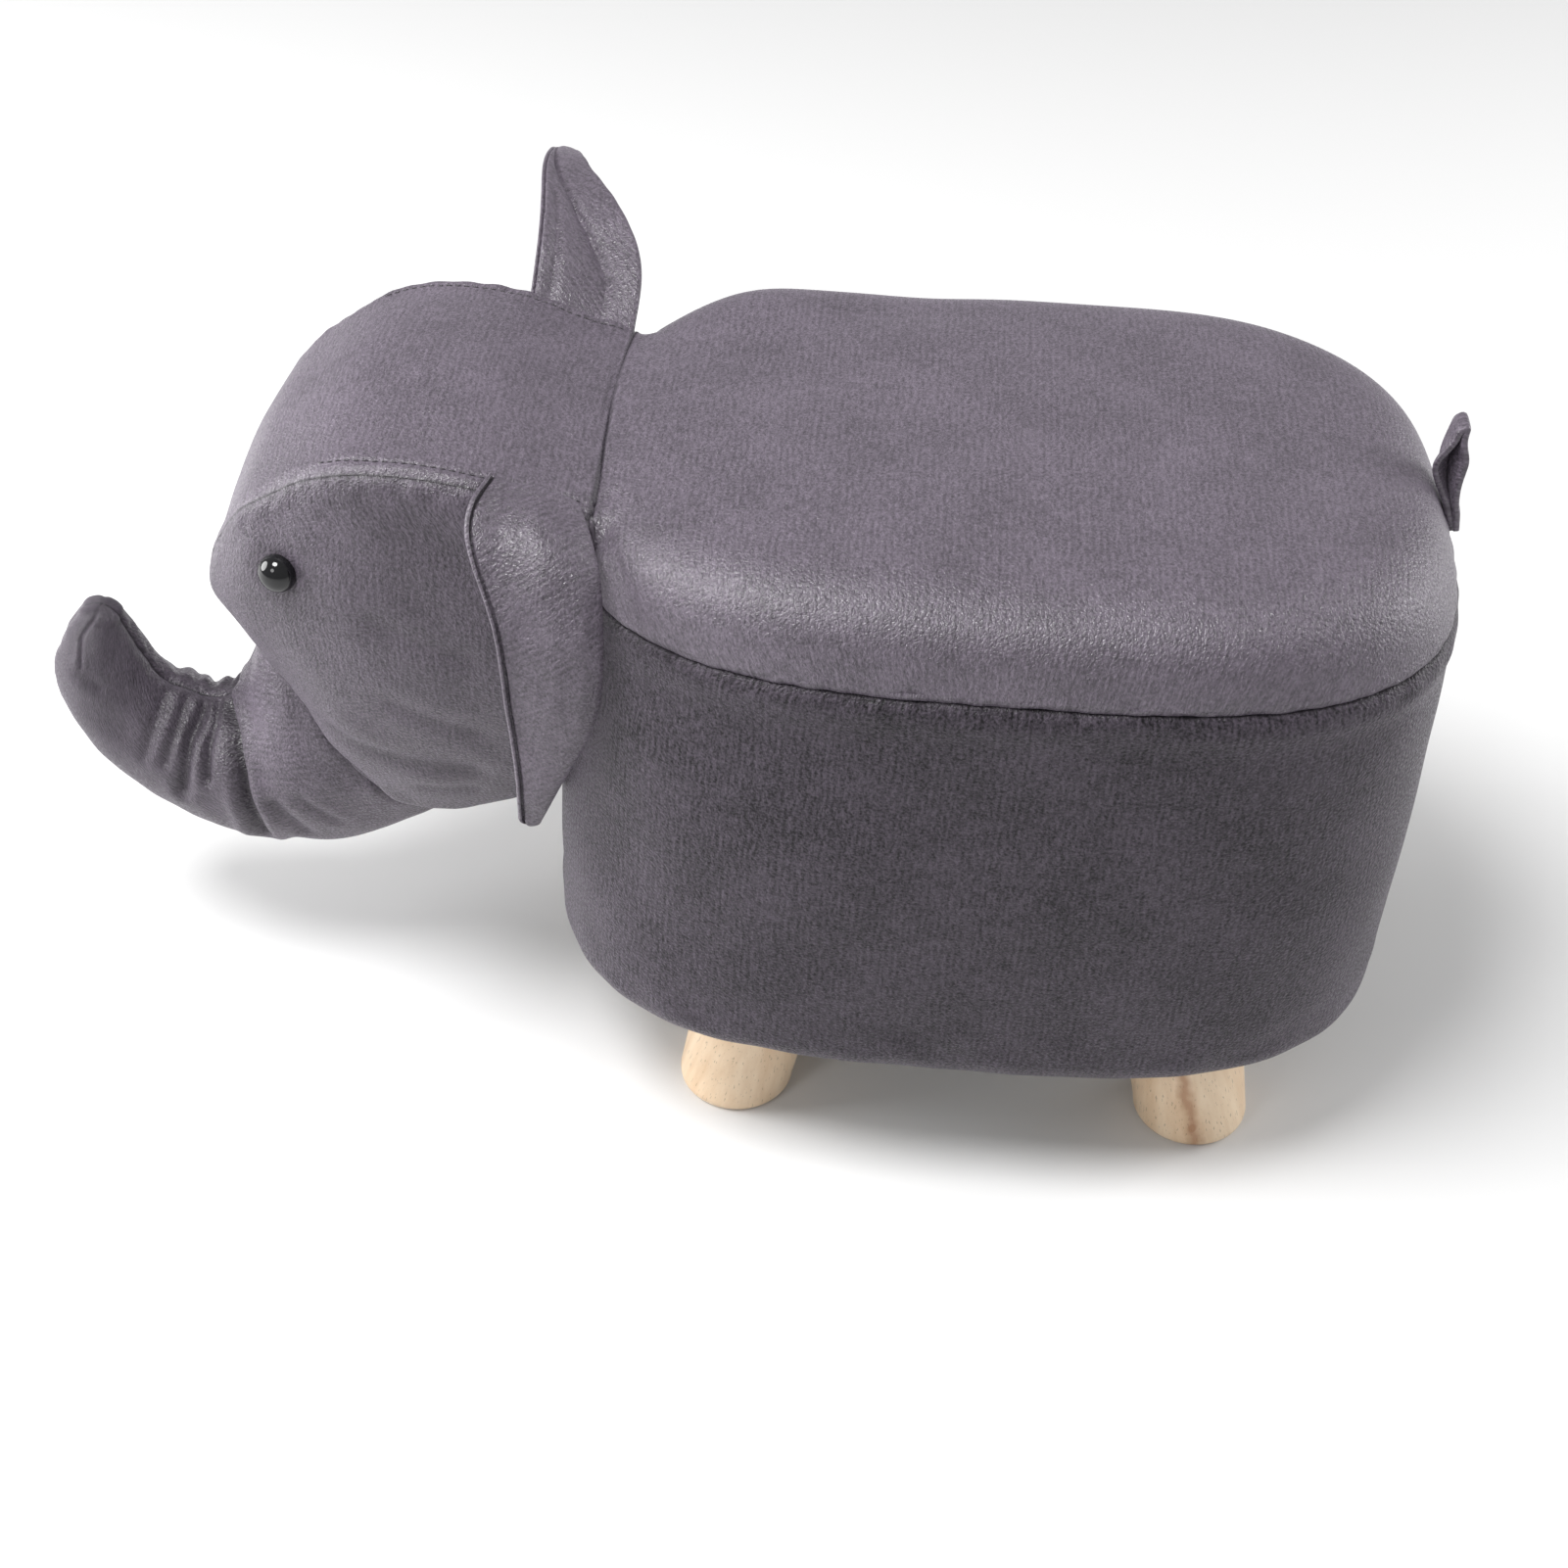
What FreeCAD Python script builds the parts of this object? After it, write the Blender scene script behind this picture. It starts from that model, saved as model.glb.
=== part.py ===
import FreeCAD, Part

# Upholstered elephant footstool, in millimetres.
# The origin is on the floor under the middle of the body. +X points to the tail,
# the head looks along -X, the elephant's left side is -Y and +Z is up.
import math
import os
from functools import lru_cache

import Sketcher
from FreeCAD import Placement, Rotation, Vector

DOC = FreeCAD.newDocument("elephant_footstool")
PIECES = {}

# Driving sizes
SIZES = (
    # upholstered body
    ("body_half_length", 170.0),
    ("body_half_width", 126.0),
    ("body_floor_gap", 66.0),
    ("seam_height", 261.5),
    ("crown_height", 36.0),
    ("crown_forward", 7.0),
    ("base_flare_along", 5.6),
    ("base_flare_across", 3.8),
    ("base_forward", 5.8),
    ("base_edge_radius", 15.0),
    ("side_bulge", 1.8),
    ("cloth_thickness", 1.6),
    ("cloth_clearance", 0.2),
    ("hem_on_board", 8.0),
    # hidden frame
    ("side_pad_along", 19.0),
    ("side_pad_across", 19.0),
    ("frame_corner_radius", 85.0),
    ("board_thickness", 12.0),
    ("wall_thickness", 3.0),
    ("seat_foam_depth", 16.0),
    ("post_side", 28.0),
    ("post_inset", 39.7),
    ("screw_radius", 2.0),
    ("screw_head_radius", 4.0),
    ("screw_length", 40.0),
    ("screw_clearance", 0.1),
    ("staple_span", 10.0),
    ("staple_wire", 0.7),
    ("staple_depth", 7.0),
    ("staple_inset", 4.0),
    ("dust_cover_thickness", 0.6),
    ("dust_cover_inset", 18.0),
    # legs
    ("leg_top_radius", 26.5),
    ("leg_foot_radius", 24.6),
    ("leg_edge_radius", 4.0),
    ("leg_foot_depth", 5.0),
    ("leg_inset_along", 70.2),
    ("leg_inset_across", 55.0),
    ("leg_splay_along", 12.5),
    ("leg_splay_across", 9.0),
    ("bolt_radius", 4.0),
    ("bolt_clearance", 0.15),
    ("bolt_in_leg", 38.0),
    ("bolt_above_board", 12.0),
    ("nut_radius", 7.5),
    ("nut_height", 6.5),
    ("washer_radius", 10.0),
    ("washer_height", 4.0),
    # head
    ("neck_inset", 11.0),
    ("head_length", 168.0),
    ("head_half_width", 72.0),
    ("head_top_height", 305.0),
    ("head_height", 180.0),
    ("forehead_rise", 5.0),
    ("chin_sag", 9.0),
    ("saddle_length", 62.0),
    ("saddle_sink", 10.0),
    # trunk
    ("trunk_root_along", 41.0),
    ("trunk_reach", 200.0),
    ("trunk_low_height", 67.0),
    ("trunk_lift", 110.0),
    ("trunk_half_width", 45.0),
    # eyes
    ("eye_along", 118.0),
    ("eye_height", 259.0),
    ("eye_radius", 7.4),
    ("eye_dome", 6.2),
    ("eye_seat", 0.45),
    ("eye_shank_radius", 2.0),
    ("eye_shank_length", 8.0),
    ("eye_washer_radius", 7.0),
    ("eye_washer_thickness", 1.5),
    ("eye_washer_sink", 0.7),
    ("eye_clearance", 0.15),
    # ears
    ("ear_root_along", 21.0),
    ("ear_root_length", 39.0),
    ("ear_root_lift", 1.4),
    ("ear_layer_gap", 0.1),
    ("ear_bead_radius", 1.8),
    ("ear_layer", 1.6),
    ("ear_length", 130.0),
    ("ear_half_width", 25.0),
    ("ear_bow", 4.0),
    ("hinge_clearance", 0.3),
    # tail
    ("tail_side", 10.0),
    ("tail_height", 46.0),
    ("tail_lean", 13.0),
    ("tail_width", 12.0),
    ("tail_strip", 1.8),
    ("tail_bead_radius", 2.0),
    # cutting tools
    ("overrun", 20.0),
)

# Outline of the body seen from above, an oval squarer than an ellipse:
# each arc of a quarter ends on one of these points, as shares of the two half sizes.
OVAL_SIDE_SHARES = (0.55, 0.944)
OVAL_CORNER_SHARES = (0.797, 0.797)
OVAL_END_SHARES = (0.9587, 0.50)

# Seat crown from the seam up: height share, inset as a share of the half width.
CROWN_SHARES = ((0.0, 0.0), (0.34, 0.020), (0.64, 0.062), (0.85, 0.145), (0.955, 0.30), (1.0, 0.55))

# Head from neck to face. Each station: distance along the head as a share of its length,
# then shares of the head's height down from the top and of its half width, for the
# forehead seam, the fullest part of the cheek and the lower edge of the cheek.
HEAD_SHARES = (
    (0.000, (0.081, 0.965), (0.444, 1.11), (0.861, 0.78)),
    (0.119, (0.053, 0.972), (0.460, 1.14), (0.917, 0.76)),
    (0.238, (0.019, 1.000), (0.460, 1.15), (0.961, 0.74)),
    (0.393, (0.000, 1.000), (0.460, 1.15), (1.000, 0.69)),
    (0.554, (0.014, 0.972), (0.460, 1.11), (0.972, 0.65)),
    (0.655, (0.052, 0.917), (0.460, 1.04), (0.878, 0.62)),
    (0.726, (0.094, 0.882), (0.467, 0.97), (0.794, 0.58)),
    (0.780, (0.133, 0.847), (0.472, 0.917), (0.717, 0.556)),
    (0.839, (0.206, 0.750), (0.472, 0.806), (0.639, 0.50)),
    (0.893, (0.294, 0.625), (0.480, 0.667), (0.583, 0.43)),
    (0.948, (0.420, 0.460), (0.490, 0.480), (0.555, 0.36)),
)

# Trunk from its root in the head to its tip. Each station: reach share and lift share of
# its upper point, the same for its lower point, then its half width share.
TRUNK_SHARES = (
    ((0.455, 1.236), (0.035, 0.518), 0.844),
    ((0.525, 1.091), (0.110, 0.309), 0.956),
    ((0.560, 0.936), (0.215, 0.155), 1.000),
    ((0.595, 0.800), (0.330, 0.041), 0.956),
    ((0.625, 0.695), (0.455, 0.000), 0.856),
    ((0.650, 0.645), (0.590, 0.014), 0.784),
    ((0.690, 0.636), (0.725, 0.086), 0.707),
    ((0.735, 0.664), (0.860, 0.214), 0.631),
    ((0.778, 0.700), (0.955, 0.409), 0.544),
    ((0.803, 0.768), (1.005, 0.645), 0.478),
    ((0.828, 0.877), (0.990, 0.873), 0.367),
    ((0.850, 0.977), (0.940, 1.018), 0.211),
)

# Ears from root to tip, in the plane of the root: distance out and rise as shares of the
# ear's length, then middle and half width along the root as shares of its half width.
HANGING_EAR_SHARES = (
    (0.000, 0.000, 0.00, 0.79),
    (0.146, -0.045, 0.19, 1.00),
    (0.269, -0.209, 0.71, 0.85),
    (0.323, -0.425, 1.08, 0.70),
    (0.346, -0.675, 1.24, 0.36),
    (0.338, -0.846, 1.31, 0.17),
)
RAISED_EAR_SHARES = (
    (0.000, 0.000, 0.00, 0.79),
    (0.192, 0.088, -0.15, 0.98),
    (0.400, 0.122, -0.55, 0.80),
    (0.608, 0.112, -0.92, 0.50),
    (0.823, 0.055, -1.12, 0.30),
    (1.000, -0.036, -1.09, 0.16),
)

# Tail loop seen from the side, up the front leaf, over the fold and down the rear leaf:
# distance towards the head as a share of the lean, then a share of the height.
TAIL_SHARES = (
    (-0.02, 0.00), (0.06, 0.12), (0.28, 0.26), (0.68, 0.44), (0.98, 0.64), (0.86, 0.84),
    (0.40, 1.00), (0.06, 0.86), (-0.04, 0.64), (-0.04, 0.42), (-0.10, 0.22), (-0.16, 0.00),
)

# Height of an eye's upright rim, as a share of the whole dome.
EYE_RIM_SHARE = 0.2

# How far the cut between forehead and cheek is taken each way, as a share of the half width.
WEDGE_SHARE = 0.8

# Drop of the seat ridge towards the tail and depth of its foot, as shares of its sink.
RIDGE_SHARES = (0.5, 3.0)

STAPLE_COUNT = 20
EDGE_STEPS = 3
WALL_STEPS = 12
CORNERS = (("front_left", -1, -1), ("front_right", -1, 1), ("rear_left", 1, -1), ("rear_right", 1, 1))

SHEET = DOC.addObject("Spreadsheet::Sheet", "Sizes")
for row, (alias, value) in enumerate(SIZES, start=1):
    SHEET.set("A%d" % row, alias)
    SHEET.set("B%d" % row, str(value))
    SHEET.setAlias("B%d" % row, alias)
DOC.recompute()


def size(alias):
    """Read one driving size from the sheet."""
    return float(SHEET.get(alias))


def bind(thing, **expressions):
    """Tie properties of an object to cells of the sheet; __ in a name stands for a dot."""
    for name, words in expressions.items():
        thing.setExpression(name.replace("__", "."), words)


def keep(label, thing):
    """Name a finished piece."""
    thing.Label = label
    PIECES[label] = thing
    return thing


def shaped(label, shape, place=Placement()):
    """Add a piece whose shape is made directly."""
    thing = DOC.addObject("Part::Feature", label)
    thing.Shape = shape
    thing.Placement = place
    return keep(label, thing)


def cut(label, base, tools):
    """Cut tool objects out of a base object."""
    thing = DOC.addObject("Part::Cut", label + "_cut")
    thing.Base = base
    if len(tools) == 1:
        thing.Tool = tools[0]
    else:
        joined = DOC.addObject("Part::MultiFuse", label + "_tools")
        joined.Shapes = tools
        thing.Tool = joined
    return keep(label, thing)


def arc(first, middle, last):
    return Part.Arc(first, middle, last).toShape()


def line(first, last):
    return Part.LineSegment(first, last).toShape()


def loft(wires):
    """Smooth closed solid of low degree through a row of evenly spaced wires."""
    ruled, closed, degree = False, False, 3
    return Part.makeLoft(wires, True, ruled, closed, degree)


def half_space(side):
    """Large box on one side of the middle plane: side is -1 for the left, +1 for the right."""
    reach = size("head_length") + size("body_half_length") + size("trunk_reach")
    corner = Vector(-reach, 0 if side > 0 else -reach, 0)
    return Part.makeBox(reach, reach, reach, corner)


# Upholstered body


def oval(height, half_length, half_width, middle):
    """Closed outline of eight arcs at one height."""
    def at(shares, sign_x, sign_y):
        return Vector(middle + sign_x * shares[0] * half_length, sign_y * shares[1] * half_width, height)

    side, corner, end = OVAL_SIDE_SHARES, OVAL_CORNER_SHARES, OVAL_END_SHARES
    front = Vector(middle - half_length, 0, height)
    rear = Vector(middle + half_length, 0, height)
    left = Vector(middle, -half_width, height)
    right = Vector(middle, half_width, height)
    edges = [
        arc(at(side, -1, -1), left, at(side, 1, -1)),
        arc(at(side, 1, -1), at(corner, 1, -1), at(end, 1, -1)),
        arc(at(end, 1, -1), rear, at(end, 1, 1)),
        arc(at(end, 1, 1), at(corner, 1, 1), at(side, 1, 1)),
        arc(at(side, 1, 1), right, at(side, -1, 1)),
        arc(at(side, -1, 1), at(corner, -1, 1), at(end, -1, 1)),
        arc(at(end, -1, 1), front, at(end, -1, -1)),
        arc(at(end, -1, -1), at(corner, -1, -1), at(side, -1, -1)),
    ]
    return Part.Wire(edges)


def body_outline(height, inset):
    """Outline of the side wall at one height, drawn in by an inset."""
    wall = size("seam_height") - size("body_floor_gap")
    down = (size("seam_height") - height) / wall
    half_length = size("body_half_length") + down * size("base_flare_along") - inset
    half_width = size("body_half_width") + down * size("base_flare_across") - inset
    return oval(height, half_length, half_width, -down * size("base_forward"))


@lru_cache(maxsize=None)
def wall_solid(inset):
    """Everything inside the side wall, from the rounded underside up to the seat seam."""
    radius = size("base_edge_radius") - inset
    bottom = size("body_floor_gap") + inset
    wires = []
    for i in range(EDGE_STEPS):
        turn = i * math.pi / 2 / EDGE_STEPS
        rise, drawn_in = radius * (1 - math.cos(turn)), radius * (1 - math.sin(turn))
        wires.append(body_outline(bottom + rise, inset + drawn_in))
    straight = size("seam_height") - bottom - radius
    for i in range(WALL_STEPS + 1):
        up_share = i / WALL_STEPS
        bulge = size("side_bulge") * math.sin(math.pi * up_share)
        wires.append(body_outline(bottom + radius + up_share * straight, inset - bulge))
    return loft(wires)


@lru_cache(maxsize=None)
def crown_solid(inset):
    """Crowned seat above the seam."""
    wires = []
    for rise_share, inset_share in CROWN_SHARES:
        height = size("seam_height") + rise_share * (size("crown_height") - inset)
        drawn_in = inset + inset_share * size("body_half_width")
        half_length = size("body_half_length") - drawn_in
        half_width = size("body_half_width") - drawn_in
        wires.append(oval(height, half_length, half_width, -rise_share * size("crown_forward")))
    return loft(wires)


def saddle_outline(x, half_width, seam_height, inset):
    """Arched outline of the ridge that joins the seat to the back of the head."""
    top = seam_height - inset
    side = half_width - inset
    low = size("seam_height") - RIDGE_SHARES[1] * size("saddle_sink")
    edges = [
        line(Vector(x, -side, low), Vector(x, -side, top)),
        arc(Vector(x, -side, top), Vector(x, 0, top + size("forehead_rise")), Vector(x, side, top)),
        line(Vector(x, side, top), Vector(x, side, low)),
        line(Vector(x, side, low), Vector(x, -side, low)),
    ]
    return Part.Wire(edges)


def saddle_solid(inset):
    """Ridge from the neck seam back into the seat crown."""
    _, seam, _, _ = HEAD_SHARES[0]
    neck_half_width = seam[1] * size("head_half_width")
    neck_seam = size("head_top_height") - seam[0] * size("head_height")
    neck = -neck_back()
    back_width = neck_half_width - size("saddle_sink")
    back_seam = neck_seam - RIDGE_SHARES[0] * size("saddle_sink")
    wires = [saddle_outline(neck, neck_half_width, neck_seam, inset)]
    wires.append(saddle_outline(neck + size("saddle_length"), back_width, back_seam, inset))
    return loft(wires)


@lru_cache(maxsize=None)
def seat_block(inset):
    """Seat above the seam, with the ridge to the neck; the ridge stops at the seam."""
    saddle = saddle_solid(inset)
    reach = 2 * size("body_half_length")
    below = Part.makeBox(2 * reach, 2 * reach, size("seam_height"), Vector(-reach, -reach, 0))
    return crown_solid(inset).fuse(saddle.cut(below)).removeSplitter()


def tail_axis():
    """Root of the tail on the rear seat seam."""
    past = size("body_half_length") + size("tail_bead_radius") / 2
    return Vector(past, size("tail_side"), size("seam_height"))


def tail_groove():
    """Room for the tail's sewn root."""
    radius = size("tail_bead_radius") + size("hinge_clearance")
    width = size("tail_width") + 2 * size("hinge_clearance")
    start = tail_axis() - Vector(0, width / 2, 0)
    return Part.makeCylinder(radius, width, start, Vector(0, 1, 0))


def frame_half_length():
    return size("body_half_length") - size("side_pad_along")


def frame_half_width():
    return size("body_half_width") - size("side_pad_across")


def board_oval(height, inset):
    """Oval that lies an inset inside the base board's edge."""
    return oval(height, frame_half_length() - inset, frame_half_width() - inset, 0)


def frame_core():
    """Everything inside the wall board's outer face, as a plain block."""
    length = frame_half_length() + size("wall_thickness")
    width = frame_half_width() + size("wall_thickness")
    radius = size("frame_corner_radius") + size("wall_thickness")
    bottom = size("body_floor_gap") + size("cloth_thickness")
    block = Part.makeBox(2 * length, 2 * width, seat_board_top() - bottom, Vector(-length, -width, bottom))
    upright = [edge for edge in block.Edges if abs(edge.tangentAt(edge.FirstParameter).z) > 0.9]
    return block.makeFillet(radius, upright)


def seat_board_top():
    return size("seam_height") - size("seat_foam_depth")


def base_board_bottom():
    return size("body_floor_gap") + size("cloth_thickness")


def base_board_top():
    return base_board_bottom() + size("board_thickness")


def hem_opening():
    """Hole in the underside, inside the turned hem."""
    bottom = size("body_floor_gap")
    outline = board_oval(bottom, size("hem_on_board"))
    outline.translate(Vector(0, 0, -size("overrun")))
    return Part.Face(outline).extrude(Vector(0, 0, size("overrun") + size("cloth_thickness")))


def make_covers():
    """Seat panel and side band of cloth."""
    cloth = size("cloth_thickness")
    seat = seat_block(0).cut(seat_block(cloth)).cut(head_solid(0))
    shaped("seat_cover", seat.cut(tail_groove()))
    band = wall_solid(0).cut(wall_solid(cloth)).cut(hem_opening())
    shaped("side_cover", band.cut(tail_groove()))


def make_foam():
    """Seat cushion and four side pads between the cloth and the frame."""
    inset = size("cloth_thickness") + size("cloth_clearance")
    core = frame_core()
    upper = Part.Face(body_outline(seat_board_top(), inset))
    upper = upper.extrude(Vector(0, 0, size("seam_height") - seat_board_top()))
    block = seat_block(inset).fuse(upper.common(wall_solid(inset))).cut(head_solid(0))
    shaped("seat_foam", block.removeSplitter().cut(tail_groove()))

    pads = wall_solid(inset).cut(core)
    reach = 2 * size("body_half_length")
    lid = Part.makeBox(2 * reach, 2 * reach, reach, Vector(-reach, -reach, seat_board_top()))
    pads = pads.cut(lid)
    corner_x = OVAL_CORNER_SHARES[0] * size("body_half_length")
    corner_y = OVAL_CORNER_SHARES[1] * size("body_half_width")
    slope = corner_y / corner_x
    for label, sign_x, sign_y in (("front", -1, 0), ("rear", 1, 0), ("left", 0, -1), ("right", 0, 1)):
        if sign_x:
            outer = [Vector(sign_x * reach, -reach * slope, 0), Vector(sign_x * reach, reach * slope, 0)]
        else:
            outer = [Vector(-reach, sign_y * reach * slope, 0), Vector(reach, sign_y * reach * slope, 0)]
        wedge = Part.Face(Part.makePolygon([Vector(0, 0, 0)] + outer + [Vector(0, 0, 0)]))
        shaped("side_foam_" + label, pads.common(wedge.extrude(Vector(0, 0, reach))))


# Hidden frame


def body_with_sketch(label, height):
    """Body with an empty sketch on its own horizontal plane, raised to a height."""
    body = DOC.addObject("PartDesign::Body", label + "_body")
    sketch = body.newObject("Sketcher::SketchObject", label + "_outline")
    plane = [feature for feature in body.Origin.OriginFeatures if feature.Role == "XY_Plane"][0]
    sketch.AttachmentSupport = [(plane, "")]
    sketch.MapMode = "FlatFace"
    bind(sketch, AttachmentOffset__Base__z=height)
    return body, sketch


def draw_rounded_outline(sketch, name, length, width, radius):
    """Rounded rectangle about the origin, its three sizes tied to the sheet."""
    first = sketch.GeometryCount
    half_length, half_width, corner = first_guess(length), first_guess(width), first_guess(radius)
    a, b = half_length - corner, half_width - corner
    up = Vector(0, 0, 1)
    lines = [
        (Vector(-a, half_width, 0), Vector(a, half_width, 0)),
        (Vector(half_length, b, 0), Vector(half_length, -b, 0)),
        (Vector(a, -half_width, 0), Vector(-a, -half_width, 0)),
        (Vector(-half_length, -b, 0), Vector(-half_length, b, 0)),
    ]
    for start, end in lines:
        sketch.addGeometry(Part.LineSegment(start, end), False)
    quarter = math.pi / 2
    for x, y, turn in ((a, b, 0), (a, -b, 3), (-a, -b, 2), (-a, b, 1)):
        circle = Part.Circle(Vector(x, y, 0), up, corner)
        sketch.addGeometry(Part.ArcOfCircle(circle, turn * quarter, (turn + 1) * quarter), False)
    top, right, bottom, left, c0, c1, c2, c3 = range(first, first + 8)
    joints = (
        (top, 2, c0, 2), (c0, 1, right, 1), (right, 2, c1, 2), (c1, 1, bottom, 1),
        (bottom, 2, c2, 2), (c2, 1, left, 1), (left, 2, c3, 2), (c3, 1, top, 1),
    )
    for one, one_end, other, other_end in joints:
        sketch.addConstraint(Sketcher.Constraint("Tangent", one, one_end, other, other_end))
    for flat in (top, bottom):
        sketch.addConstraint(Sketcher.Constraint("Horizontal", flat))
    for upright in (right, left):
        sketch.addConstraint(Sketcher.Constraint("Vertical", upright))
    for other in (c1, c2, c3):
        sketch.addConstraint(Sketcher.Constraint("Equal", c0, other))
    sketch.addConstraint(Sketcher.Constraint("Symmetric", top, 1, bottom, 1, -1, 1))
    driving = (
        ("half_length", Sketcher.Constraint("DistanceX", -1, 1, right, 1, half_length), length),
        ("half_width", Sketcher.Constraint("DistanceY", -1, 1, top, 1, half_width), width),
        ("corner", Sketcher.Constraint("Radius", c0, corner), radius),
    )
    for word, constraint, words in driving:
        index = sketch.addConstraint(constraint)
        sketch.renameConstraint(index, name + word)
        sketch.setExpression("Constraints." + name + word, words)


def pad(body, sketch, length):
    feature = body.newObject("PartDesign::Pad", sketch.Name + "_pad")
    feature.Profile = sketch
    bind(feature, Length=length)
    sketch.Visibility = False
    body.Tip = feature
    return feature


def first_guess(words):
    """Value of a sheet expression, where the solver starts."""
    return float(SHEET.evalExpression(words))


def frame_plate(label, height, depth, rim=None):
    """Plate in the outline of the frame, or with a rim width the ring that wraps it."""
    body, sketch = body_with_sketch(label, height)
    length = "Sizes.body_half_length - Sizes.side_pad_along"
    width = "Sizes.body_half_width - Sizes.side_pad_across"
    corner = "Sizes.frame_corner_radius"
    draw_rounded_outline(sketch, "inner_", length, width, corner)
    if rim:
        draw_rounded_outline(sketch, "outer_", length + rim, width + rim, corner + rim)
    pad(body, sketch, depth)
    DOC.recompute()
    return body


def post_places():
    """Middle of each post, seen from above."""
    along = frame_half_length() - size("post_inset")
    across = frame_half_width() - size("post_inset")
    for label, sign_x, sign_y in CORNERS:
        yield label, Vector(sign_x * along, sign_y * across, 0)


def screw(start, direction, clearance):
    """Countersunk wood screw, its head flush at the start point."""
    shank = size("screw_radius") + clearance
    head = size("screw_head_radius") + clearance
    body = Part.makeCylinder(shank, size("screw_length") + clearance, start, direction)
    return body.fuse(Part.makeCone(head, shank, head - shank, start, direction))


def frame_screws(clearance):
    """Two screws on each post: down through the seat board and up through the base board."""
    solids = []
    for _, place in post_places():
        for height, way in ((seat_board_top(), -1), (base_board_bottom(), 1)):
            solids.append(screw(place + Vector(0, 0, height), Vector(0, 0, way), clearance))
    return solids


def make_frame():
    """Two boards, four posts and the thin wall board wrapped round them."""
    holes = Part.makeCompound(frame_screws(size("screw_clearance")))
    bores = Part.makeCompound([leg_bolt_bore(x, y) for _, x, y in CORNERS])
    screw_holes = DOC.addObject("Part::Feature", "screw_holes")
    screw_holes.Shape = holes
    bolt_bores = DOC.addObject("Part::Feature", "bolt_bores")
    bolt_bores.Shape = bores
    depth = "Sizes.board_thickness"
    base = frame_plate("base_board", "Sizes.body_floor_gap + Sizes.cloth_thickness", depth)
    seat_height = "Sizes.seam_height - Sizes.seat_foam_depth - Sizes.board_thickness"
    seat = frame_plate("seat_board", seat_height, depth)
    cut("base_board", base, [screw_holes, bolt_bores])
    cut("seat_board", seat, [screw_holes])
    wall_depth = ("Sizes.seam_height - Sizes.seat_foam_depth"
                  " - Sizes.body_floor_gap - Sizes.cloth_thickness")
    wall = frame_plate("wall_board", "Sizes.body_floor_gap + Sizes.cloth_thickness", wall_depth,
                       " + Sizes.wall_thickness")
    keep("wall_board", wall)
    post_height = ("Sizes.seam_height - Sizes.seat_foam_depth - 2 * Sizes.board_thickness"
                   " - Sizes.body_floor_gap - Sizes.cloth_thickness")
    for label, place in post_places():
        box = DOC.addObject("Part::Box", "frame_post_" + label + "_box")
        bind(box, Length="Sizes.post_side", Width="Sizes.post_side", Height=post_height)
        half = size("post_side") / 2
        box.Placement.Base = place + Vector(-half, -half, base_board_top())
        cut("frame_post_" + label, box, [screw_holes])
    shaped("frame_screws", Part.makeCompound(frame_screws(0)))


def make_dust_cover():
    """Thin cloth over the underside, cut round the legs."""
    bottom = size("body_floor_gap") - size("dust_cover_thickness")
    outline = body_outline(size("body_floor_gap"), size("dust_cover_inset"))
    outline.translate(Vector(0, 0, -size("dust_cover_thickness")))
    sheet = Part.Face(outline).extrude(Vector(0, 0, size("dust_cover_thickness")))
    for _, sign_x, sign_y in CORNERS:
        middle = leg_axis_point(sign_x, sign_y, bottom)
        radius = size("leg_top_radius") + 2 * size("bolt_clearance")
        start = Vector(middle.x, middle.y, 0)
        sheet = sheet.cut(Part.makeCylinder(radius, size("seam_height"), start))
    shaped("dust_cover", sheet)


def staple(middle, turn):
    """One wire staple, crown down, driven straight up."""
    wire, span, depth = size("staple_wire"), size("staple_span"), size("staple_depth")
    crown = Part.makeBox(span, wire, wire, Vector(-span / 2, -wire / 2, -wire))
    starts = (-span / 2, span / 2 - wire)
    legs = [Part.makeBox(wire, wire, depth, Vector(x, -wire / 2, -wire)) for x in starts]
    one = crown.fuse(legs).removeSplitter()
    one.Placement = Placement(middle, Rotation(Vector(0, 0, 1), math.degrees(turn)))
    return one


def make_staples():
    """Row of staples that hold the hem and the dust cover under the base board."""
    bottom = size("body_floor_gap") - size("dust_cover_thickness")
    row = board_oval(bottom, size("staple_inset"))
    solids = []
    for start, after in zip(row.discretize(STAPLE_COUNT + 1), row.discretize(STAPLE_COUNT + 1)[1:]):
        step = after - start
        solids.append(staple(start + step / 2, math.atan2(step.y, step.x)))
    shaped("hem_staples", Part.makeCompound(solids))


# Legs


def leg_axis_point(sign_x, sign_y, height):
    """Point on a leg's slanted axis at one height."""
    foot = size("leg_foot_depth")
    up_share = (height - foot) / (base_board_bottom() - foot)
    along = size("body_half_length") - size("leg_inset_along") - up_share * size("leg_splay_along")
    across = size("body_half_width") - size("leg_inset_across") - up_share * size("leg_splay_across")
    return Vector(sign_x * along, sign_y * across, height)


def leg_direction(sign_x, sign_y):
    """Unit vector up the leg's axis."""
    foot = leg_axis_point(sign_x, sign_y, size("leg_foot_depth"))
    along = leg_axis_point(sign_x, sign_y, base_board_bottom()) - foot
    return along.normalize()


def leg_bolt_start(sign_x, sign_y):
    top = leg_axis_point(sign_x, sign_y, base_board_bottom())
    return top - leg_direction(sign_x, sign_y) * size("bolt_in_leg")


def leg_bolt_length():
    return size("bolt_in_leg") + size("board_thickness") + size("bolt_above_board")


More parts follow.
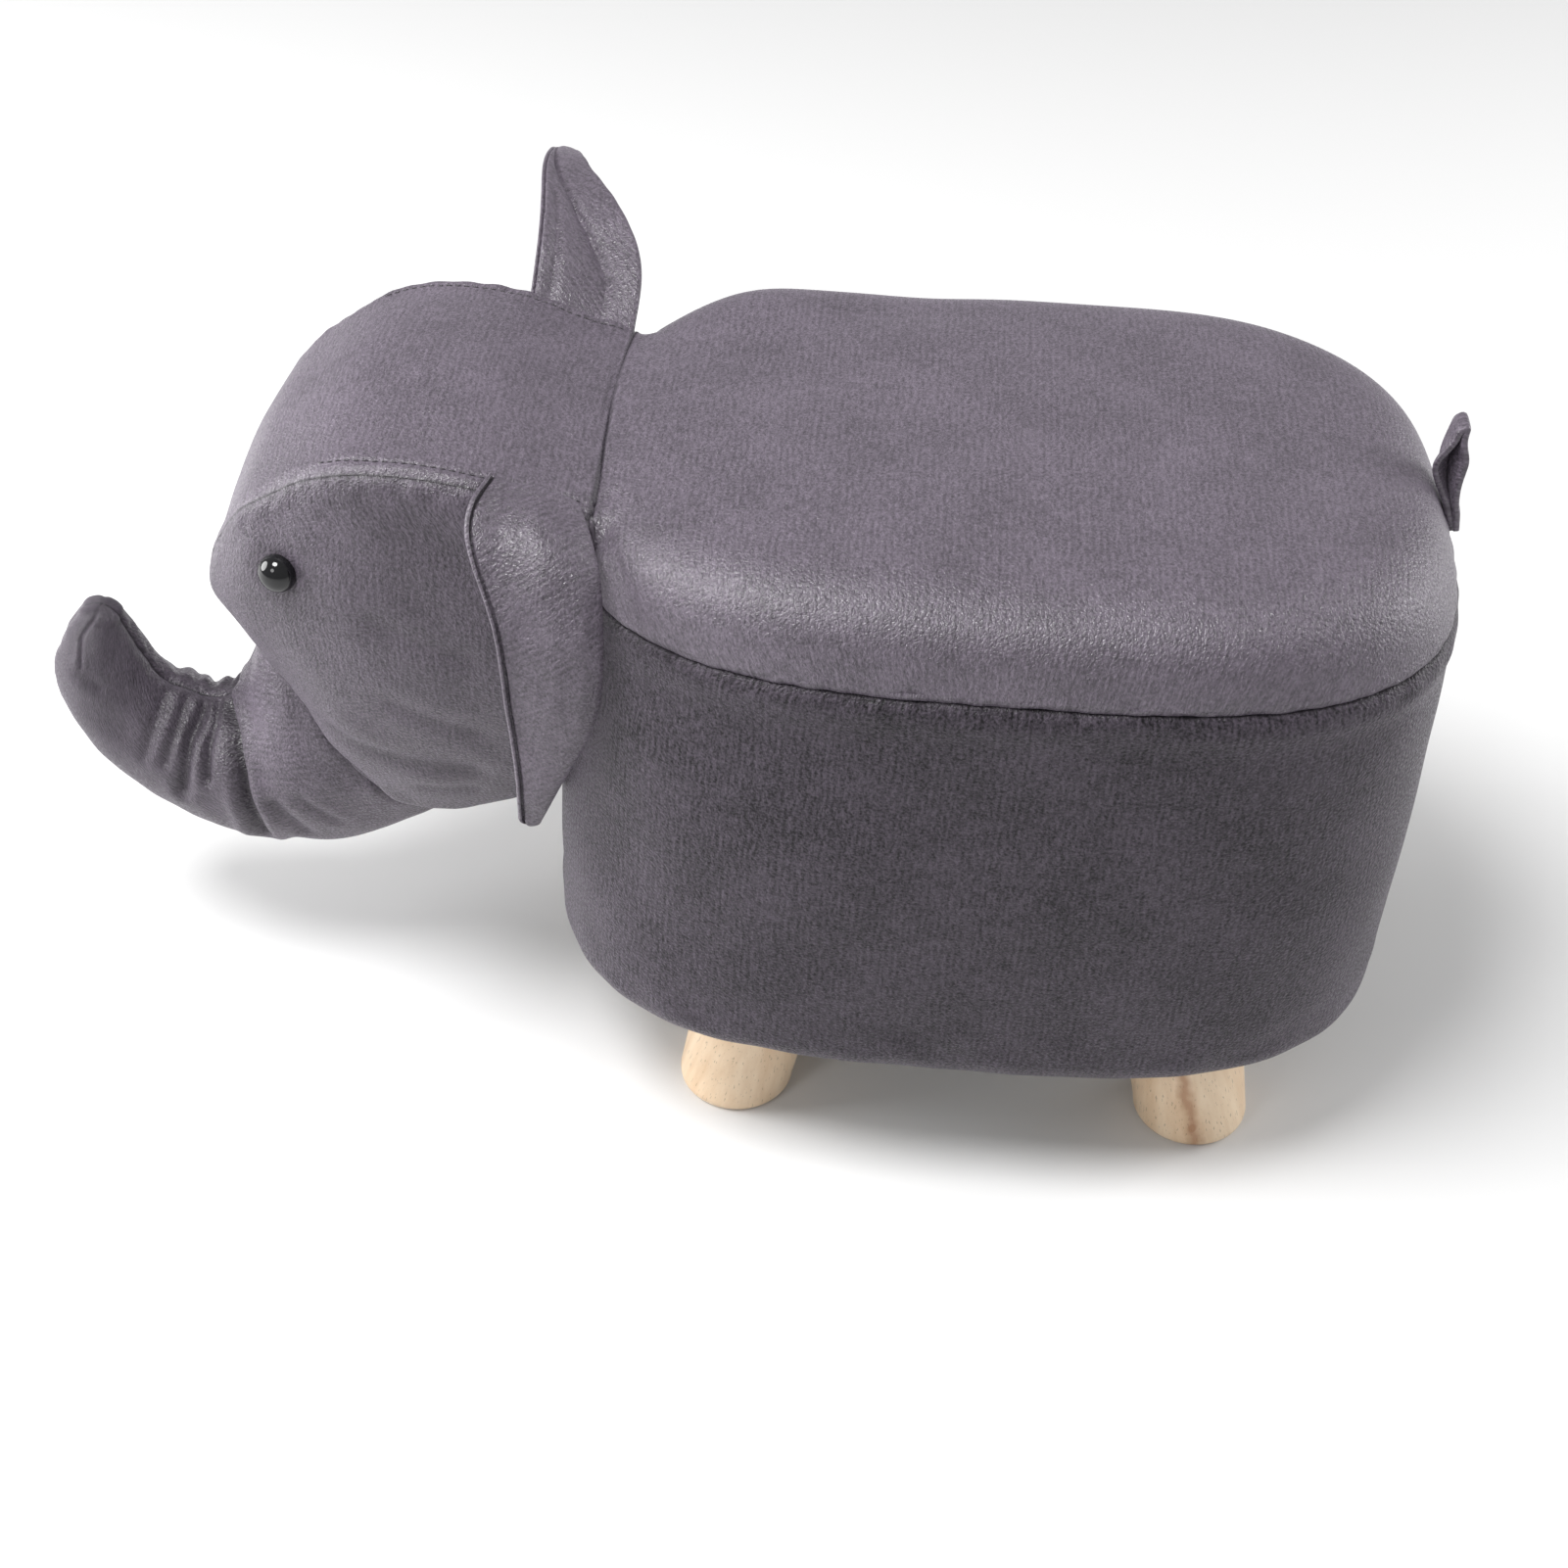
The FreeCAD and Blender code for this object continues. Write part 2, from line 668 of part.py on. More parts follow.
def leg_bolt_bore(sign_x, sign_y):
    """Room for a leg's bolt, in the leg and through the base board."""
    clearance = size("bolt_clearance")
    direction = leg_direction(sign_x, sign_y)
    start = leg_bolt_start(sign_x, sign_y) - direction * clearance
    length = leg_bolt_length() + size("board_thickness")
    return Part.makeCylinder(size("bolt_radius") + clearance, length, start, direction)


def circle_sketch(body, label, radius, offsets):
    """Circle about the origin of a sketch that is moved by sheet expressions."""
    sketch = body.newObject("Sketcher::SketchObject", label)
    plane = [feature for feature in body.Origin.OriginFeatures if feature.Role == "XY_Plane"][0]
    sketch.AttachmentSupport = [(plane, "")]
    sketch.MapMode = "FlatFace"
    for axis, words in offsets.items():
        sketch.setExpression("AttachmentOffset.Base." + axis, words)
    sketch.addGeometry(Part.Circle(Vector(0, 0, 0), Vector(0, 0, 1), first_guess(radius)), False)
    sketch.addConstraint(Sketcher.Constraint("Coincident", 0, 3, -1, 1))
    index = sketch.addConstraint(Sketcher.Constraint("Radius", 0, first_guess(radius)))
    sketch.renameConstraint(index, "radius")
    sketch.setExpression("Constraints.radius", radius)
    return sketch


def make_leg(label, sign_x, sign_y):
    """Short splayed leg, level at the top and the floor, its lower edge rounded."""
    body = DOC.addObject("PartDesign::Body", "leg_" + label + "_turned")
    foot = circle_sketch(body, label + "_foot", "Sizes.leg_foot_radius", {})
    sole = pad(body, foot, "Sizes.leg_foot_depth")
    DOC.recompute()
    edges = enumerate(sole.Shape.Edges, start=1)
    lowest = ["Edge%d" % i for i, edge in edges if edge.BoundBox.ZMax < size("leg_edge_radius")]
    rounded = body.newObject("PartDesign::Fillet", label + "_edge")
    rounded.Base = (sole, lowest)
    bind(rounded, Radius="Sizes.leg_edge_radius")
    body.Tip = rounded
    above_foot = {"z": "Sizes.leg_foot_depth"}
    lean = {
        "x": "%d * Sizes.leg_splay_along" % -sign_x,
        "y": "%d * Sizes.leg_splay_across" % -sign_y,
        "z": "Sizes.body_floor_gap + Sizes.cloth_thickness",
    }
    turned = body.newObject("PartDesign::AdditiveLoft", label + "_loft")
    turned.Profile = circle_sketch(body, label + "_ankle", "Sizes.leg_foot_radius", above_foot)
    turned.Sections = [circle_sketch(body, label + "_top", "Sizes.leg_top_radius", lean)]
    body.Tip = turned
    depth = size("leg_foot_depth")
    body.Placement.Base = leg_axis_point(sign_x, sign_y, depth) - Vector(0, 0, depth)
    bore = DOC.addObject("Part::Feature", label + "_bore")
    bore.Shape = leg_bolt_bore(sign_x, sign_y)
    cut("leg_" + label, body, [bore])


def along_axis(start, direction):
    """Placement that stands a piece on a slanted axis."""
    return Placement(start, Rotation(Vector(0, 0, 1), direction))


def make_leg_fixing(label, sign_x, sign_y):
    """Bolt along the leg's axis, with a bevelled washer and a nut above the base board."""
    direction = leg_direction(sign_x, sign_y)
    bolt = DOC.addObject("Part::Cylinder", "bolt_" + label)
    bind(bolt, Radius="Sizes.bolt_radius")
    bind(bolt, Height="Sizes.bolt_in_leg + Sizes.board_thickness + Sizes.bolt_above_board")
    bolt.Placement = along_axis(leg_bolt_start(sign_x, sign_y), direction)
    keep("leg_bolt_" + label, bolt)

    bore = leg_bolt_bore(sign_x, sign_y)
    seat = leg_axis_point(sign_x, sign_y, base_board_top())
    lowest = size("washer_radius")
    disc = Part.makeCylinder(size("washer_radius"), size("washer_height") + lowest,
                             seat - direction * lowest, direction)
    reach = 2 * size("body_half_length")
    board = Part.makeBox(2 * reach, 2 * reach, base_board_top(), Vector(-reach, -reach, 0))
    shaped("leg_washer_" + label, disc.cut(board).cut(bore))

    nut = DOC.addObject("Part::Prism", "nut_" + label)
    nut.Polygon = 6
    bind(nut, Circumradius="Sizes.nut_radius", Height="Sizes.nut_height")
    nut.Placement = along_axis(seat + direction * size("washer_height"), direction)
    thread = DOC.addObject("Part::Feature", label + "_thread")
    thread.Shape = bore
    cut("leg_nut_" + label, nut, [thread])


# Head


def neck_back():
    """Distance of the neck seam from the middle of the body."""
    return size("body_half_length") - size("neck_inset")


def head_point(along, drop, width, sign, inset):
    """Point on the head's skin from shares of its length, height and half width."""
    x = -neck_back() - along * size("head_length")
    height = size("head_top_height") - drop * size("head_height")
    return Vector(x, sign * (width * size("head_half_width") - inset), height)


def head_outline(station, inset):
    """Arched forehead, two full cheeks and a shallow chin, as four arcs."""
    along, seam, cheek, chin = station
    down, up = Vector(0, 0, -inset), Vector(0, 0, inset)
    seam_points = [head_point(along, seam[0], seam[1], sign, inset) + down for sign in (-1, 1)]
    cheeks = [head_point(along, cheek[0], cheek[1], sign, inset) for sign in (-1, 1)]
    chins = [head_point(along, chin[0], chin[1], sign, inset) + up for sign in (-1, 1)]
    fullness = seam[1]
    top = head_point(along, seam[0], 0, 1, 0) + down
    top += Vector(0, 0, fullness * size("forehead_rise"))
    bottom = head_point(along, chin[0], 0, 1, 0) + up
    bottom -= Vector(0, 0, fullness * size("chin_sag"))
    edges = [
        arc(seam_points[0], Vector(top.x, 0, top.z), seam_points[1]),
        arc(seam_points[1], cheeks[1], chins[1]),
        arc(chins[1], Vector(bottom.x, 0, bottom.z), chins[0]),
        arc(chins[0], cheeks[0], seam_points[0]),
    ]
    return Part.Wire(edges)


@lru_cache(maxsize=None)
def head_solid(inset):
    """Head from the neck seam to the muzzle."""
    wires = [head_outline(station, inset) for station in HEAD_SHARES]
    wires[-1].translate(Vector(inset, 0, 0))
    return loft(wires)


def forehead_wedge():
    """Everything above the two seams that run from the neck to the muzzle."""
    wires = []
    for along, seam, _, _ in HEAD_SHARES:
        flare = WEDGE_SHARE * seam[1] * size("head_half_width")
        up = Vector(0, 0, flare)
        low = [head_point(along, seam[0], seam[1], sign, flare) - up for sign in (-1, 1)]
        high = [head_point(along, seam[0], seam[1], sign, -flare) + up for sign in (-1, 1)]
        wires.append(Part.makePolygon([low[0], high[0], high[1], low[1], low[0]]))
    return loft(wires)


def trunk_point(shares):
    """Point of the trunk in the middle plane from its reach share and lift share."""
    x = -neck_back() - size("trunk_root_along") - shares[0] * size("trunk_reach")
    return Vector(x, 0, size("trunk_low_height") + shares[1] * size("trunk_lift"))


def ring(upper, lower, half_width, inset):
    """Oval of four smooth arcs between an upper and a lower point of the middle plane."""
    middle = (upper + lower) / 2
    half = (upper - lower) / 2
    over = half * (1 - inset / half.Length)
    across = Vector(0, half_width - inset, 0)

    def at(turn):
        return middle + across * math.cos(turn) + over * math.sin(turn)

    def along(turn):
        return over * math.cos(turn) - across * math.sin(turn)

    quarter = math.pi / 2
    handle = math.tan(quarter / 4) * 4 / 3
    edges = []
    for i in range(4):
        start, end = (i + 0.5) * quarter, (i + 1.5) * quarter
        curve = Part.BezierCurve()
        curve.setPoles([at(start), at(start) + along(start) * handle, at(end) - along(end) * handle, at(end)])
        edges.append(curve.toShape())
    return Part.Wire(edges)


@lru_cache(maxsize=None)
def trunk_solid(inset):
    """Curled trunk, a smooth tube that tapers from a deep root to its tip."""
    wires = []
    for upper, lower, width in TRUNK_SHARES:
        wires.append(ring(trunk_point(upper), trunk_point(lower), width * size("trunk_half_width"), inset))
    root = (trunk_point(TRUNK_SHARES[-2][0]) + trunk_point(TRUNK_SHARES[-2][1])) / 2
    tip = (trunk_point(TRUNK_SHARES[-1][0]) + trunk_point(TRUNK_SHARES[-1][1])) / 2
    wires[-1].translate((root - tip).normalize() * inset)
    return loft(wires)


def ear_axis(sign):
    """Middle and direction of an ear's sewn root, just outside the forehead seam."""
    ends = []
    for station in (HEAD_SHARES[0], HEAD_SHARES[2]):
        ends.append(head_point(station[0], station[1][0], station[1][1], sign, 0))
    direction = (ends[0] - ends[1]).normalize()
    direction = Vector(direction.x, 0, direction.z).normalize()
    place = ends[0] - direction * size("ear_root_along")
    return place + Vector(0, sign * size("ear_root_lift"), size("ear_root_lift")), direction


def ear_groove(sign):
    """Room in the seam for an ear's rolled root."""
    middle, direction = ear_axis(sign)
    length = size("ear_root_length") + 2 * size("hinge_clearance")
    radius = size("ear_bead_radius") + size("ear_layer") / 2 + size("hinge_clearance")
    return Part.makeCylinder(radius, length, middle - direction * (length / 2), direction)


def eye_seat(sign):
    """Point on the cheek under an eye and the direction straight out of it."""
    x = -size("eye_along") - neck_back()
    inner = Vector(x, 0, size("eye_height"))
    outer = Vector(x, sign * 2 * size("head_half_width"), size("eye_height"))
    skin = head_solid(0)
    inside = skin.common(line(inner, outer))
    point = max((vertex.Point for vertex in inside.Vertexes), key=lambda p: abs(p.y))
    face = min(skin.Faces, key=lambda f: f.distToShape(Part.Vertex(point))[0])
    u, v = face.Surface.parameter(point)
    out = face.normalAt(u, v)
    return point, out if out.y * sign > 0 else out * -1


def eye_room(sign):
    """Room behind the cheek for an eye's shank and washer."""
    point, out = eye_seat(sign)
    gap = size("eye_clearance")
    above = size("eye_seat")
    reach = size("eye_shank_length") + gap + above
    shank = Part.makeCylinder(size("eye_shank_radius") + gap, reach, point + out * above, out * -1)
    start = point - out * size("cloth_thickness")
    deep = size("eye_washer_sink") + size("eye_washer_thickness") + gap
    pocket = Part.makeCylinder(size("eye_washer_radius") + gap, deep, start, out * -1)
    return shank, pocket


def make_eye(side, sign):
    """Glossy domed eye on a shank, held by a washer behind the cheek."""
    point, out = eye_seat(sign)
    radius, dome = size("eye_radius"), size("eye_dome")
    rim = dome * EYE_RIM_SHARE
    rise = dome - rim
    ball = (radius * radius + rise * rise) / (2 * rise)
    cap = Part.makeSphere(ball, Vector(0, 0, dome - ball))
    cap = cap.common(Part.makeCylinder(ball, dome, Vector(0, 0, rim)))
    disc = Part.makeCylinder(radius, rim)
    length = size("eye_shank_length")
    shank = Part.makeCylinder(size("eye_shank_radius"), length, Vector(0, 0, -length))
    eye = disc.fuse([cap, shank])
    shaped("eye_" + side, eye, along_axis(point + out * size("eye_seat"), out))

    deep = size("cloth_thickness") + size("eye_washer_sink") + size("eye_washer_thickness")
    start = point - out * deep
    washer = Part.makeCylinder(size("eye_washer_radius"), size("eye_washer_thickness"), start, out)
    below = start - out * size("overrun")
    hole = size("eye_shank_radius") + size("eye_clearance")
    bore = Part.makeCylinder(hole, 2 * size("overrun"), below, out)
    shaped("eye_washer_" + side, washer.cut(bore))


def make_head():
    """Three cloth panels over one filling, and the trunk's two panels over its own."""
    cloth = size("cloth_thickness")
    inner_inset = cloth + size("cloth_clearance")
    wall = wall_solid(0)
    outer, inner = head_solid(0), head_solid(inner_inset)
    skin = outer.cut(head_solid(cloth)).cut(wall)
    filling = inner.cut(wall)
    for sign in (-1, 1):
        groove = ear_groove(sign)
        skin = skin.cut(groove)
        filling = filling.cut(groove)
        shank, pocket = eye_room(sign)
        skin = skin.cut(shank)
        filling = filling.cut(shank).cut(pocket)
    wedge = forehead_wedge()
    shaped("forehead_panel", skin.common(wedge))
    cheeks = skin.cut(wedge)
    shaped("cheek_left", cheeks.common(half_space(-1)))
    shaped("cheek_right", cheeks.common(half_space(1)))
    shaped("head_filling", filling)

    trunk_skin = trunk_solid(0).cut(trunk_solid(cloth)).cut(outer).cut(wall)
    shaped("trunk_left", trunk_skin.common(half_space(-1)))
    shaped("trunk_right", trunk_skin.common(half_space(1)))
    shaped("trunk_filling", trunk_solid(inner_inset).cut(outer).cut(wall))
    make_eye("left", -1)
    make_eye("right", 1)


# Ears


def ear_strip(station, normal, low, high):
    """Bowed cross-section of one ear layer at a station, between two offsets."""
    out, rise, middle, half = station
    bow = size("ear_bow") * half
    x_middle = middle * size("ear_half_width")
    x_half = half * size("ear_half_width")

    def at(share, offset):
        place = Vector(x_middle + share * x_half, out * size("ear_length"), rise * size("ear_length"))
        return place + normal * (offset + bow * (1 - share * share))

    edges = [
        arc(at(-1, high), at(0, high), at(1, high)),
        line(at(1, high), at(1, low)),
        arc(at(1, low), at(0, low), at(-1, low)),
        line(at(-1, low), at(-1, high)),
    ]
    return Part.Wire(edges)


def ear_layer(stations, low, high):
    """One cloth layer of an ear, lofted from its root to its tip."""
    wires = []
    for i, station in enumerate(stations):
        before, after = stations[max(i - 1, 0)], stations[min(i + 1, len(stations) - 1)]
        run, climb = after[0] - before[0], after[1] - before[1]
        normal = Vector(0, -climb, run).normalize()
        wires.append(ear_strip(station, normal, low, high))
    return loft(wires)


def make_ear(side, sign, stations):
    """Two sewn layers on a rolled root: the outer one above, the lining below."""
    layer = size("ear_layer")
    length = size("ear_root_length")
    start, along = Vector(-length / 2, 0, 0), Vector(1, 0, 0)
    bead = Part.makeCylinder(size("ear_bead_radius"), length, start, along)
    past = Vector(layer, 0, 0)
    trim = Part.makeCylinder(size("ear_bead_radius") + layer / 2, length + 2 * layer, start - past, along)
    outer = ear_layer(stations, 0, layer).fuse(bead).removeSplitter()
    lining = ear_layer(stations, -layer, -size("ear_layer_gap")).cut(trim)
    middle, direction = ear_axis(sign)
    place = Placement(middle, Rotation(Vector(1, 0, 0), direction))
    for label, shape in (("outer", outer), ("lining", lining)):
        if sign < 0:
            shape = shape.mirror(Vector(0, 0, 0), Vector(0, 1, 0))
        shaped("ear_%s_%s" % (side, label), shape, place)


# Tail


def tail_side(shift):
    """Smooth line along the loop, moved out from its middle by a shift."""
    root = tail_axis()
    root.y = 0
    points = []
    for lean, height in TAIL_SHARES:
        place = root + Vector(-lean * size("tail_lean"), 0, height * size("tail_height"))
        points.append(place)
    spread = []
    for i, place in enumerate(points):
        before, after = points[max(i - 1, 0)], points[min(i + 1, len(points) - 1)]
        along = (after - before).normalize()
        spread.append(place + Vector(-along.z, 0, along.x) * shift)
    curve = Part.BSplineCurve()
    curve.interpolate(spread)
    return curve.toShape()


def make_tail():
    """Folded strip of cloth sewn into the rear seat seam by its two ends."""
    strip, width = size("tail_strip"), size("tail_width")
    outside, inside = tail_side(strip / 2), tail_side(-strip / 2)
    ends = [line(outside.Vertexes[i].Point, inside.Vertexes[i].Point) for i in (0, 1)]
    band = Part.Face(Part.Wire(Part.__sortEdges__([outside, ends[0], inside, ends[1]])))
    start = tail_axis() - Vector(0, width / 2, 0)
    band.translate(Vector(0, start.y, 0))
    root = Part.makeCylinder(size("tail_bead_radius"), width, start, Vector(0, 1, 0))
    shaped("tail_loop", band.extrude(Vector(0, width, 0)).fuse(root).removeSplitter())


def make_part():
    make_frame()
    make_covers()
    make_foam()
    make_dust_cover()
    make_staples()
    for label, sign_x, sign_y in CORNERS:
        make_leg(label, sign_x, sign_y)
        make_leg_fixing(label, sign_x, sign_y)
    make_head()
    make_ear("left", -1, HANGING_EAR_SHARES)
    make_ear("right", 1, RAISED_EAR_SHARES)
    make_tail()


def check_and_write():
    """Stop on any failed object, then write one file for each piece."""
    DOC.recompute()
    failed = [thing.Name for thing in DOC.Objects if "Invalid" in thing.State or "Error" in thing.State]
    if failed:
        raise RuntimeError("failed objects: " + ", ".join(failed))
    os.makedirs("parts", exist_ok=True)
    for label, thing in PIECES.items():
        shape = thing.Shape
        if shape.isNull() or not shape.isValid() or not shape.Solids:
            raise RuntimeError("bad shape: " + label)
        print("%-24s solids %2d volume %10.1f" % (label, len(shape.Solids), shape.Volume))
    for label, thing in PIECES.items():
        thing.Shape.exportStep("parts/" + label + ".step")
    print(len(PIECES), "pieces")


make_part()
check_and_write()
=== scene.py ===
# %% [markdown]
# Upholstered elephant footstool.
# The real stool is a padded wooden box on four turned legs, covered in a soft grey cloth, with a
# stuffed head, a curled trunk, two cloth ears and a folded strip for a tail. The wooden and metal
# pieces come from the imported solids. Everything soft is sewn here again as a fine mesh, because
# cloth shows its seams, puckers and folds, which a plain solid can't.

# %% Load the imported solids
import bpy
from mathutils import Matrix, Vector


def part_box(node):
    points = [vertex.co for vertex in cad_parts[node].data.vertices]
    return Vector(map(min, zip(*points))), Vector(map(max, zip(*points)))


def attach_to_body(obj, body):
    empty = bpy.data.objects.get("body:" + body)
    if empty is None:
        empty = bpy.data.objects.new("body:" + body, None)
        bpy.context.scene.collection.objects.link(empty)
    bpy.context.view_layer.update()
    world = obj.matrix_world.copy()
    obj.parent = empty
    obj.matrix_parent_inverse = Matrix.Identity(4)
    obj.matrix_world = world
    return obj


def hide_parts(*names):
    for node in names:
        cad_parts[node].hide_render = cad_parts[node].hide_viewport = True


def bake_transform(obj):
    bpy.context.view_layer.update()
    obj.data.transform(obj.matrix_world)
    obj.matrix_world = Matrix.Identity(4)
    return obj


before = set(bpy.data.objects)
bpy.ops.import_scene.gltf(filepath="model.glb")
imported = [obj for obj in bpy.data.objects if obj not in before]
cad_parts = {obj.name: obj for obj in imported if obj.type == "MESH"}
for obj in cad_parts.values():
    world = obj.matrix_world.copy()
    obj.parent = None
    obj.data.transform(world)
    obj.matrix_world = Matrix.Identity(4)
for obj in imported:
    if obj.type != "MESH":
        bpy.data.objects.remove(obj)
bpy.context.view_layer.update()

# %% Modules and units
import math

import bmesh
import bpy
import numpy as np
from mathutils import Matrix, Vector

MM = 0.001

# %% [markdown]
# Smooth lines.
# A maker draws a pattern piece through a few marks and lets a bent lath find the line between
# them. A natural cubic spline is that lath. It could be a Blender curve object, but plain numbers
# keep every mark in one short table beside the piece that it shapes.

# %% Bent lath through marks


def spline(knots, marks, at):
    """Smooth line through rows of marks, read at given places."""
    knots = np.asarray(knots, float)
    marks = np.asarray(marks, float).reshape(len(knots), -1)
    gaps = np.diff(knots)
    system, load = np.eye(len(knots)), np.zeros_like(marks)
    for i in range(1, len(knots) - 1):
        system[i, i - 1:i + 2] = gaps[i - 1], 2 * (gaps[i - 1] + gaps[i]), gaps[i]
        load[i] = 6 * ((marks[i + 1] - marks[i]) / gaps[i] - (marks[i] - marks[i - 1]) / gaps[i - 1])
    bend = np.linalg.solve(system, load)
    at = np.asarray(at, float)
    i = np.clip(np.searchsorted(knots, at, side="right") - 1, 0, len(knots) - 2)
    gap = gaps[i][:, None]
    before = (knots[i + 1] - at)[:, None] / gap
    after = 1 - before
    curve = (before ** 3 - before) * bend[i] + (after ** 3 - after) * bend[i + 1]
    return before * marks[i] + after * marks[i + 1] + curve * gap ** 2 / 6


def lengths(points):
    """Distance from the first point along a line of points."""
    steps = np.linalg.norm(np.diff(points, axis=0), axis=1)
    return np.concatenate([[0.0], np.cumsum(steps)])


def lath(marks, count, measure=None):
    """Evenly spaced rows along a smooth line through marks."""
    marks = np.asarray(marks, float)
    knots = lengths(marks if measure is None else np.asarray(measure, float))
    return spline(knots, marks, np.linspace(0, knots[-1], count))


def read_line(at, along, points):
    """Points of a line at given distances along it."""
    return np.stack([np.interp(at, along, column) for column in points.T], axis=-1)


def even(points, count, crowd=0.0, ends=1):
    """The same line with its points spaced evenly, or crowded towards its start or both ends."""
    along = lengths(points)
    share = np.linspace(0, 1, count)
    share -= crowd * np.sin(ends * math.pi * share) / (ends * math.pi)
    return read_line(share * along[-1], along, points)


def ease(values):
    """Soft step from 0 to 1."""
    values = np.clip(values, 0, 1)
    return values * values * (3 - 2 * values)


# %% [markdown]
# Cloth grids.
# A pattern piece is woven in two directions, so each soft piece is a grid of points: rows one way,
# columns the other. A sculpted or remeshed form would lose where its seams are. On a grid each
# point knows how far it is from its seams, and a second set of numbers, called weave, keeps the
# place of each point in the flat cloth, in metres, so the ribs of the knit follow the sewing.

# %% Grid helpers


def grid_normals(points, wrap_columns=False):
    """Direction straight out of the grid at each point."""
    if wrap_columns:
        across = (np.roll(points, -1, axis=1) - np.roll(points, 1, axis=1)) / 2
    else:
        across = np.gradient(points, axis=1)
    normals = np.cross(across, np.gradient(points, axis=0))
    return normals / np.maximum(np.linalg.norm(normals, axis=2, keepdims=True), 1e-9)


def outward_normals(points, wrap_columns=False):
    """The same, all turned to the outer side of a full panel."""
    normals = grid_normals(points, wrap_columns)
    return normals * np.sign(np.sum(normals * (points - points.mean(axis=(0, 1)))))


def column_distance(points):
    """Distance of each point from the first row, along its column."""
    steps = np.linalg.norm(np.diff(points, axis=0), axis=2)
    return np.vstack([np.zeros((1, points.shape[1])), np.cumsum(steps, axis=0)])


def row_distance(points):
    """Distance of each point from the first column, along its row."""
    return column_distance(points.transpose(1, 0, 2)).T


def ripple(points, size, seed, waves=16):
    """Soft random unevenness between about -1 and 1, the same on each run."""
    chance = np.random.default_rng(seed)
    total = np.zeros(points.shape[:-1])
    for _ in range(waves):
        direction = chance.normal(size=3)
        direction /= np.linalg.norm(direction) * size * chance.uniform(0.7, 1.5)
        total += np.sin(2 * math.pi * (points @ direction) + chance.uniform(0, 2 * math.pi))
    return total / math.sqrt(waves)


def line_distance(points, line):
    """Distance from each point to a line of straight runs, in as many directions as it has."""
    nearest = np.full(points.shape[:-1], 1e9)
    line = np.asarray(line, float)
    for start, end in zip(line[:-1], line[1:]):
        run = end - start
        share = np.clip(((points - start) @ run) / max(run @ run, 1e-9), 0, 1)
        gap = np.linalg.norm(points - start - share[..., None] * run, axis=-1)
        nearest = np.minimum(nearest, gap)
    return nearest


def relax(points, times):
    """Round off small corners along each row, leaving its two ends."""
    for _ in range(times):
        points[:, 1:-1] = (points[:, :-2] + 2 * points[:, 1:-1] + points[:, 2:]) / 4
    return points


def squared(values, power):
    """Sines or cosines pushed outward, which makes a circle squarer."""
    return np.sign(values) * np.abs(values) ** power


def sideways(path):
    """Direction square to a plane line at each of its points."""
    lead = np.gradient(path, axis=0)
    lead /= np.maximum(np.linalg.norm(lead, axis=1, keepdims=True), 1e-9)
    return np.column_stack([-lead[:, 1], lead[:, 0]])


# %% Seams and folds
# Width of the painted shade line in a seam.
SEAM_SHADE_WIDTH = 0.8
# Distance from a seam over which the filling takes over the shape.
SEAM_REACH = 14


def hump(distance, width, place=0.0):
    """Swell that is 1 at its place and fades to 0 beside it."""
    return np.exp(-((distance - place) / width) ** 2)


def crease(distance, depth, width):
    """Valley of a fold with a soft swell on each side of it."""
    return depth * (0.3 * hump(distance, 1.4 * width, 2.4 * width) - hump(distance, width))


def seam_dip(distance, depth=1.5, width=2.2):
    """Sunk edge of a panel at a seam, with a soft roll beside it."""
    return -depth * np.exp(-(distance / width) ** 1.5) + 0.32 * hump(distance, 4, 7)


def press_folds(points, folds, tone, spread):
    """Valleys of folds marked on the side of a panel, and the painted shade in each of them."""
    valleys, dark = 0.0, 0.0
    for line, depth, width in folds:
        away = line_distance(points[..., [0, 2]], line)
        valleys = valleys + crease(away, depth, width)
        dark = dark + tone * depth * hump(away, width * spread)
    return valleys, dark


# %% Meshes from grids
PANEL_THICK = 1.2


def add_weave(mesh, weave):
    """Keep the flat place of each point of the cloth, in metres, and its painted seam and fold shade."""
    weave = np.asarray(weave, float)
    weave = weave.reshape(-1, weave.shape[-1])
    kept = np.zeros((len(weave), 3))
    kept[:, :2] = weave[:, :2] * MM
    if weave.shape[1] == 3:
        kept[:, 2] = np.clip(weave[:, 2], 0, 1)
    mesh.attributes.new("weave", "FLOAT_VECTOR", "POINT").data.foreach_set("vector", kept.ravel())


def add_object(name, data):
    """New object in the scene."""
    made = bpy.data.objects.new(name, data)
    bpy.context.scene.collection.objects.link(made)
    return made


def mesh_piece(name, points, faces, weave):
    """Blender object from points in millimetres."""
    mesh = bpy.data.meshes.new(name)
    mesh.from_pydata((np.asarray(points).reshape(-1, 3) * MM).tolist(), [], faces)
    add_weave(mesh, weave)
    form = bmesh.new()
    form.from_mesh(mesh)
    bmesh.ops.remove_doubles(form, verts=form.verts, dist=2e-6)
    bmesh.ops.recalc_face_normals(form, faces=form.faces)
    form.to_mesh(mesh)
    form.free()
    mesh.shade_smooth()
    print(name, len(mesh.vertices), "points", len(mesh.polygons), "faces")
    return add_object(name, mesh)


def grid_faces(rows, columns, wrap_rows=False, wrap_columns=False, start=0):
    """Four-sided faces between neighbouring points of a grid."""
    index = np.arange(rows * columns).reshape(rows, columns) + start
    if wrap_rows:
        index = np.vstack([index, index[:1]])
    if wrap_columns:
        index = np.hstack([index, index[:, :1]])
    corners = [index[:-1, :-1], index[:-1, 1:], index[1:, 1:], index[1:, :-1]]
    return np.stack(corners, axis=-1).reshape(-1, 4).tolist()


